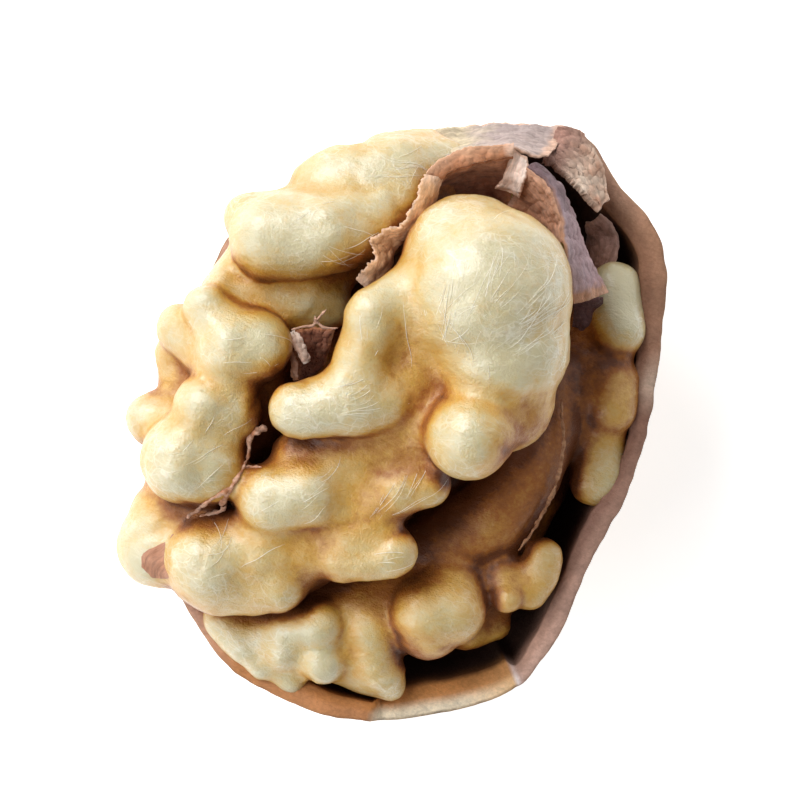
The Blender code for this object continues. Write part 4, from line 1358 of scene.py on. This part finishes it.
def new_material(name):
    """A Principled material and its tree, shader and place in millimetres."""
    material = bpy.data.materials.new(name)
    material.use_nodes = True
    tree = material.node_tree
    coords = add_node(tree, "ShaderNodeTexCoord")
    place = add_node(tree, "ShaderNodeMapping",
                     {"Vector": coords.outputs["Object"], "Scale": (1.0 / MM,) * 3})
    return material, tree, tree.nodes["Principled BSDF"], place.outputs[0]


def attribute(tree, name, output="Fac"):
    """An attribute of the mesh."""
    return add_node(tree, "ShaderNodeAttribute", attribute_name=name).outputs[output]


def kernel_tint(tree, level, settings):
    """Skin colour for a tan value: cream, honey, brown, and nearly black at 1, painted shade where
    the deepest creases reach it.
    """
    tint = add_node(tree, "ShaderNodeValToRGB", {"Fac": level})
    stops = tint.color_ramp.elements
    stops[0].position = 0.0
    stops[0].color = (*settings.cream, 1.0)
    stops[1].position = 1.0
    stops[1].color = (*KERNEL_DEEP, 1.0)
    for position, colour in ((0.20, KERNEL_STRAW), (0.46, settings.honey),
                             (0.74, settings.brown)):
        stops.new(position).color = (*colour, 1.0)
    return tint.outputs["Color"]


def kernel_material(settings):
    """Satin kernel skin: cream on the folds, honey on their sides, brown in the creases.

    The honey on the sides is painted shade, and the brown in the creases is partly the
    skin's own colour and partly painted shade. A tan value made of the creases, the
    folds' own tan, how steep the skin is and mottling picks the colour; pale net-like
    veins, haze and small freckles lie over it.
    """
    material, tree, shader, place = new_material("kernel_skin")
    crease, tan, flank = (attribute(tree, key) for key in ("crease", "tan", "flank"))
    mottle = noise_texture(tree, place, 0.42, Detail=6.0, Roughness=0.62)
    grain = noise_texture(tree, place, 2.6, Detail=5.0, Roughness=0.7)
    dust = noise_texture(tree, place, 8.0, Detail=3.0)
    # The crease and flank terms paint shade: brown in the creases, partly the skin's own, and honey
    # on the steep sides.
    level = maths(tree, "MULTIPLY_ADD", crease, 0.95, -0.12)
    for value, share in ((tan, 0.85), (flank, 0.38),
                         (maths(tree, "SUBTRACT", mottle, 0.5), 0.62),
                         (maths(tree, "SUBTRACT", grain, 0.5), 0.40)):
        level = maths(tree, "ADD", level, product(tree, value, share))
    level.node.use_clamp = True
    tint = kernel_tint(tree, level, settings)
    _net_streaks, net_lines = fibres(tree, place, 1.0, 2.4, 2.6)
    streaks, fine_lines = fibres(tree, place, 1.6, 3.0, 1.2)
    where = spread(tree, noise_texture(tree, place, 0.23, Detail=2.0), 0.42, 0.62)
    covered = maths(tree, "MULTIPLY_ADD", crease, 1.6, product(tree, tan, 1.5))
    open_skin = maths(tree, "SUBTRACT", 1.0, covered, clamp=True)
    lines = maths(tree, "MAXIMUM", net_lines, product(tree, fine_lines, 0.6))
    lines = product(tree, lines, where, open_skin)
    colour = blended(tree, product(tree, lines, 0.50), tint, LINE_PALE)
    haze = product(tree, spread(tree, streaks, 0.50, 0.70), where, open_skin, 0.42)
    colour = blended(tree, haze, colour, HAZE_PALE)
    dots = add_node(tree, "ShaderNodeTexVoronoi", {"Vector": place, "Scale": 0.95}).outputs
    chance = add_node(tree, "ShaderNodeSeparateColor", {"Color": dots["Color"]}).outputs[0]
    freckle = product(tree, spread(tree, dots["Distance"], 0.05, 0.13, 1.0, 0.0),
                      maths(tree, "GREATER_THAN", chance, 0.72), 0.28)
    dull = spread(tree, level, 0.15, 0.75, 1.0, 0.25)
    fill_inputs(tree, shader, {
        "Base Color": blended(tree, freckle, colour, FRECKLE_BROWN),
        "Roughness": spread(tree, grain, 0.3, 0.7, 0.31, 0.46),
        "Normal": bumps(tree, (mottle, 0.12, 0.5), (grain, 0.45, 0.16), (streaks, 0.65, 0.17),
                        (dust, 0.65, 0.065), (lines, 0.35, 0.05)),
        "Subsurface Weight": 0.16, "Subsurface Radius": (1.0, 0.62, 0.28),
        "Subsurface Scale": 0.7 * MM,
        "IOR": 1.68, "Specular IOR Level": dull, "Specular Tint": (0.86, 0.94, 1.0, 1.0),
        "Coat Weight": product(tree, dull, 0.55), "Coat Roughness": 0.23})
    return material


def vein_material():
    """Pale, dry threads."""
    material, tree, shader, place = new_material("vein_skin")
    grain = noise_texture(tree, place, 1.2, Detail=3.0)
    fill_inputs(tree, shader, {"Base Color": blended(tree, grain, VEIN_CREAM, VEIN_WHITE),
                               "Roughness": 0.45})
    return material


def shell_material():
    """Woody shell: its own colour with painted shade in the hollow and grooves, fine stipple,
    and a granular broken rim.
    """
    material, tree, shader, place = new_material("shell_skin")
    stain_and_painted_light = attribute(tree, "stain_and_painted_light", "Color")
    zone, groove = attribute(tree, "zone"), attribute(tree, "groove")
    grain = noise_texture(tree, place, 3.2, Detail=6.0, Roughness=0.7)
    broad = noise_texture(tree, place, 0.5, Detail=5.0, Roughness=0.6)
    streaks, lines = fibres(tree, place, 2.0, 5.0, 0.8)
    colour = blended(tree, 1.0, stain_and_painted_light, spread(tree, grain, 0.3, 0.7, 0.80, 1.15), "MULTIPLY")
    colour = blended(tree, 1.0, colour, spread(tree, broad, 0.35, 0.65, 0.84, 1.10), "MULTIPLY")
    fill_inputs(tree, shader, {
        "Base Color": blended(tree, product(tree, lines, 0.13), colour, SHELL_LINE),
        "Roughness": maths(tree, "MULTIPLY_ADD", zone, -0.10, 0.72),
        "Specular IOR Level": 0.3,
        "Normal": bumps(tree, (broad, 0.5, 0.35), (grain, 0.45, 0.14),
                        (maths(tree, "SUBTRACT", 1.0, groove), 0.3, 0.2),
                        (streaks, 0.4, 0.10))})
    return material


def paper_material(name, fuzz):
    """Dry papery tissue: its colour, with painted light and shade on the post and the back
    flap, broken up by fibres that run along the sheet.
    """
    material, tree, shader, place = new_material(name)
    streaks, _lines = fibres(tree, attribute(tree, "reach", "Vector"), 3.6, 5.0, 0.9)
    grain = noise_texture(tree, place, 5.0, Detail=6.0, Roughness=0.75)
    colour = blended(tree, 1.0, attribute(tree, "stain_and_painted_light", "Color"),
                     spread(tree, streaks, 0.3, 0.7, 0.68, 1.28), "MULTIPLY")
    pale = product(tree, spread(tree, grain, 0.52, 0.75), 0.16 * fuzz)
    fill_inputs(tree, shader, {
        "Base Color": blended(tree, pale, colour, PAPER_FUZZ),
        "Roughness": 0.82, "Specular IOR Level": 0.25,
        "Sheen Weight": 0.06, "Sheen Roughness": 0.5,
        "Normal": bumps(tree, (streaks, 0.6, 0.14), (grain, 0.6, 0.12))})
    return material


# ====================================================================== stage
def floor_material():
    """Plain pale floor, which glows a little so that it stays pale under soft light."""
    material, tree, shader, _place = new_material("floor_paint")
    fill_inputs(tree, shader, {
        "Base Color": (0.93, 0.93, 0.93, 1.0), "Roughness": 0.9,
        "Emission Color": (1.0, 1.0, 1.0, 1.0), "Emission Strength": 0.62})
    return material


def area_light(name, place, target, size, power, colour):
    """One soft round lamp that points at a target."""
    lamp = bpy.data.lights.new(name, "AREA")
    lamp.shape = "DISK"
    lamp.size = size
    lamp.energy = power
    lamp.color = colour
    obj = bpy.data.objects.new(name, lamp)
    bpy.context.scene.collection.objects.link(obj)
    obj.location = place
    aim = Vector(target) - obj.location
    obj.rotation_euler = aim.to_track_quat("-Z", "Y").to_euler()


class WALNUT_OT_stage(bpy.types.Operator):
    """Set up the floor, the soft light and the camera above the nut"""

    bl_idname = "walnut.stage"
    bl_label = "Stage"

    def execute(self, context):
        settings = context.scene.walnut.stage
        scene = context.scene
        mesh = bpy.data.meshes.new("floor")
        corners = [(x * FLOOR_HALF, y * FLOOR_HALF, 0)
                   for x, y in ((-1, -1), (1, -1), (1, 1), (-1, 1))]
        mesh.from_pydata(corners, [], [(0, 1, 2, 3)])
        mesh.materials.append(floor_material())
        floor = bpy.data.objects.new("floor", mesh)
        scene.collection.objects.link(floor)
        mouth = MOUTH * MM
        camera = bpy.data.cameras.new("camera")
        camera.lens = settings.lens
        camera.sensor_width = 36.0
        camera.clip_start = 0.01
        view = bpy.data.objects.new("camera", camera)
        scene.collection.objects.link(view)
        view.location = mouth + CAMERA_SHIFT * MM + np.array([0.0, 0.0, settings.distance])
        view.rotation_euler = (0.0, 0.0, math.atan2(RIGHT[1], RIGHT[0]))
        scene.camera = view
        for name, across, up, height, size, share, colour in LAMPS:
            place = mouth + (across * RIGHT + up * UP) + np.array([0.0, 0.0, height])
            area_light(name, place, mouth, size, settings.key * share, colour)
        world = bpy.data.worlds.new("sky")
        world.use_nodes = True
        tree = world.node_tree
        way = add_node(tree, "ShaderNodeTexCoord").outputs["Generated"]
        rise = add_node(tree, "ShaderNodeSeparateXYZ", {"Vector": way}).outputs["Z"]
        dome = spread(tree, rise, 0.10, 0.45, HORIZON, settings.sky,
                      interpolation_type="SMOOTHSTEP")
        fill_inputs(tree, tree.nodes["Background"],
                    {"Color": (1.0, 0.985, 0.96, 1.0), "Strength": dome})
        scene.world = world
        scene.view_settings.view_transform = "Standard"
        return {"FINISHED"}


class WALNUT_PT_panel(bpy.types.Panel):
    """The walnut's pieces and settings"""

    bl_idname = "WALNUT_PT_panel"
    bl_label = "Cracked Walnut"
    bl_space_type = "VIEW_3D"
    bl_region_type = "UI"
    bl_category = "Walnut"

    def draw(self, context):
        settings = context.scene.walnut
        for operator in OPERATORS:
            self.layout.operator(operator.bl_idname)
        for group in (settings.shell, settings.kernel, settings.septum, settings.stage):
            box = self.layout.box()
            for key in group.__annotations__:
                box.prop(group, key)


SETTINGS = (WalnutShellSettings, WalnutKernelSettings, WalnutSeptumSettings,
            WalnutStageSettings, WalnutSettings)
OPERATORS = (WALNUT_OT_stage, WALNUT_OT_shell, WALNUT_OT_flap, WALNUT_OT_kernel,
             WALNUT_OT_veins, WALNUT_OT_skins, WALNUT_OT_septum, WALNUT_OT_fragments)


def register():
    """Register the classes and hang the settings on the scene."""
    for cls in (*SETTINGS, *OPERATORS, WALNUT_PT_panel):
        bpy.utils.register_class(cls)
    bpy.types.Scene.walnut = bpy.props.PointerProperty(type=WalnutSettings)


def unregister():
    """Take the settings and the classes away again."""
    del bpy.types.Scene.walnut
    for cls in reversed((*SETTINGS, *OPERATORS, WALNUT_PT_panel)):
        bpy.utils.unregister_class(cls)


def main():
    """Build everything."""
    register()
    bpy.ops.walnut.stage()
    bpy.ops.walnut.shell()
    bpy.ops.walnut.flap()
    bpy.ops.walnut.kernel()
    bpy.ops.walnut.veins()
    bpy.ops.walnut.skins()
    bpy.ops.walnut.septum()
    bpy.ops.walnut.fragments()


if __name__ == "__main__":
    main()
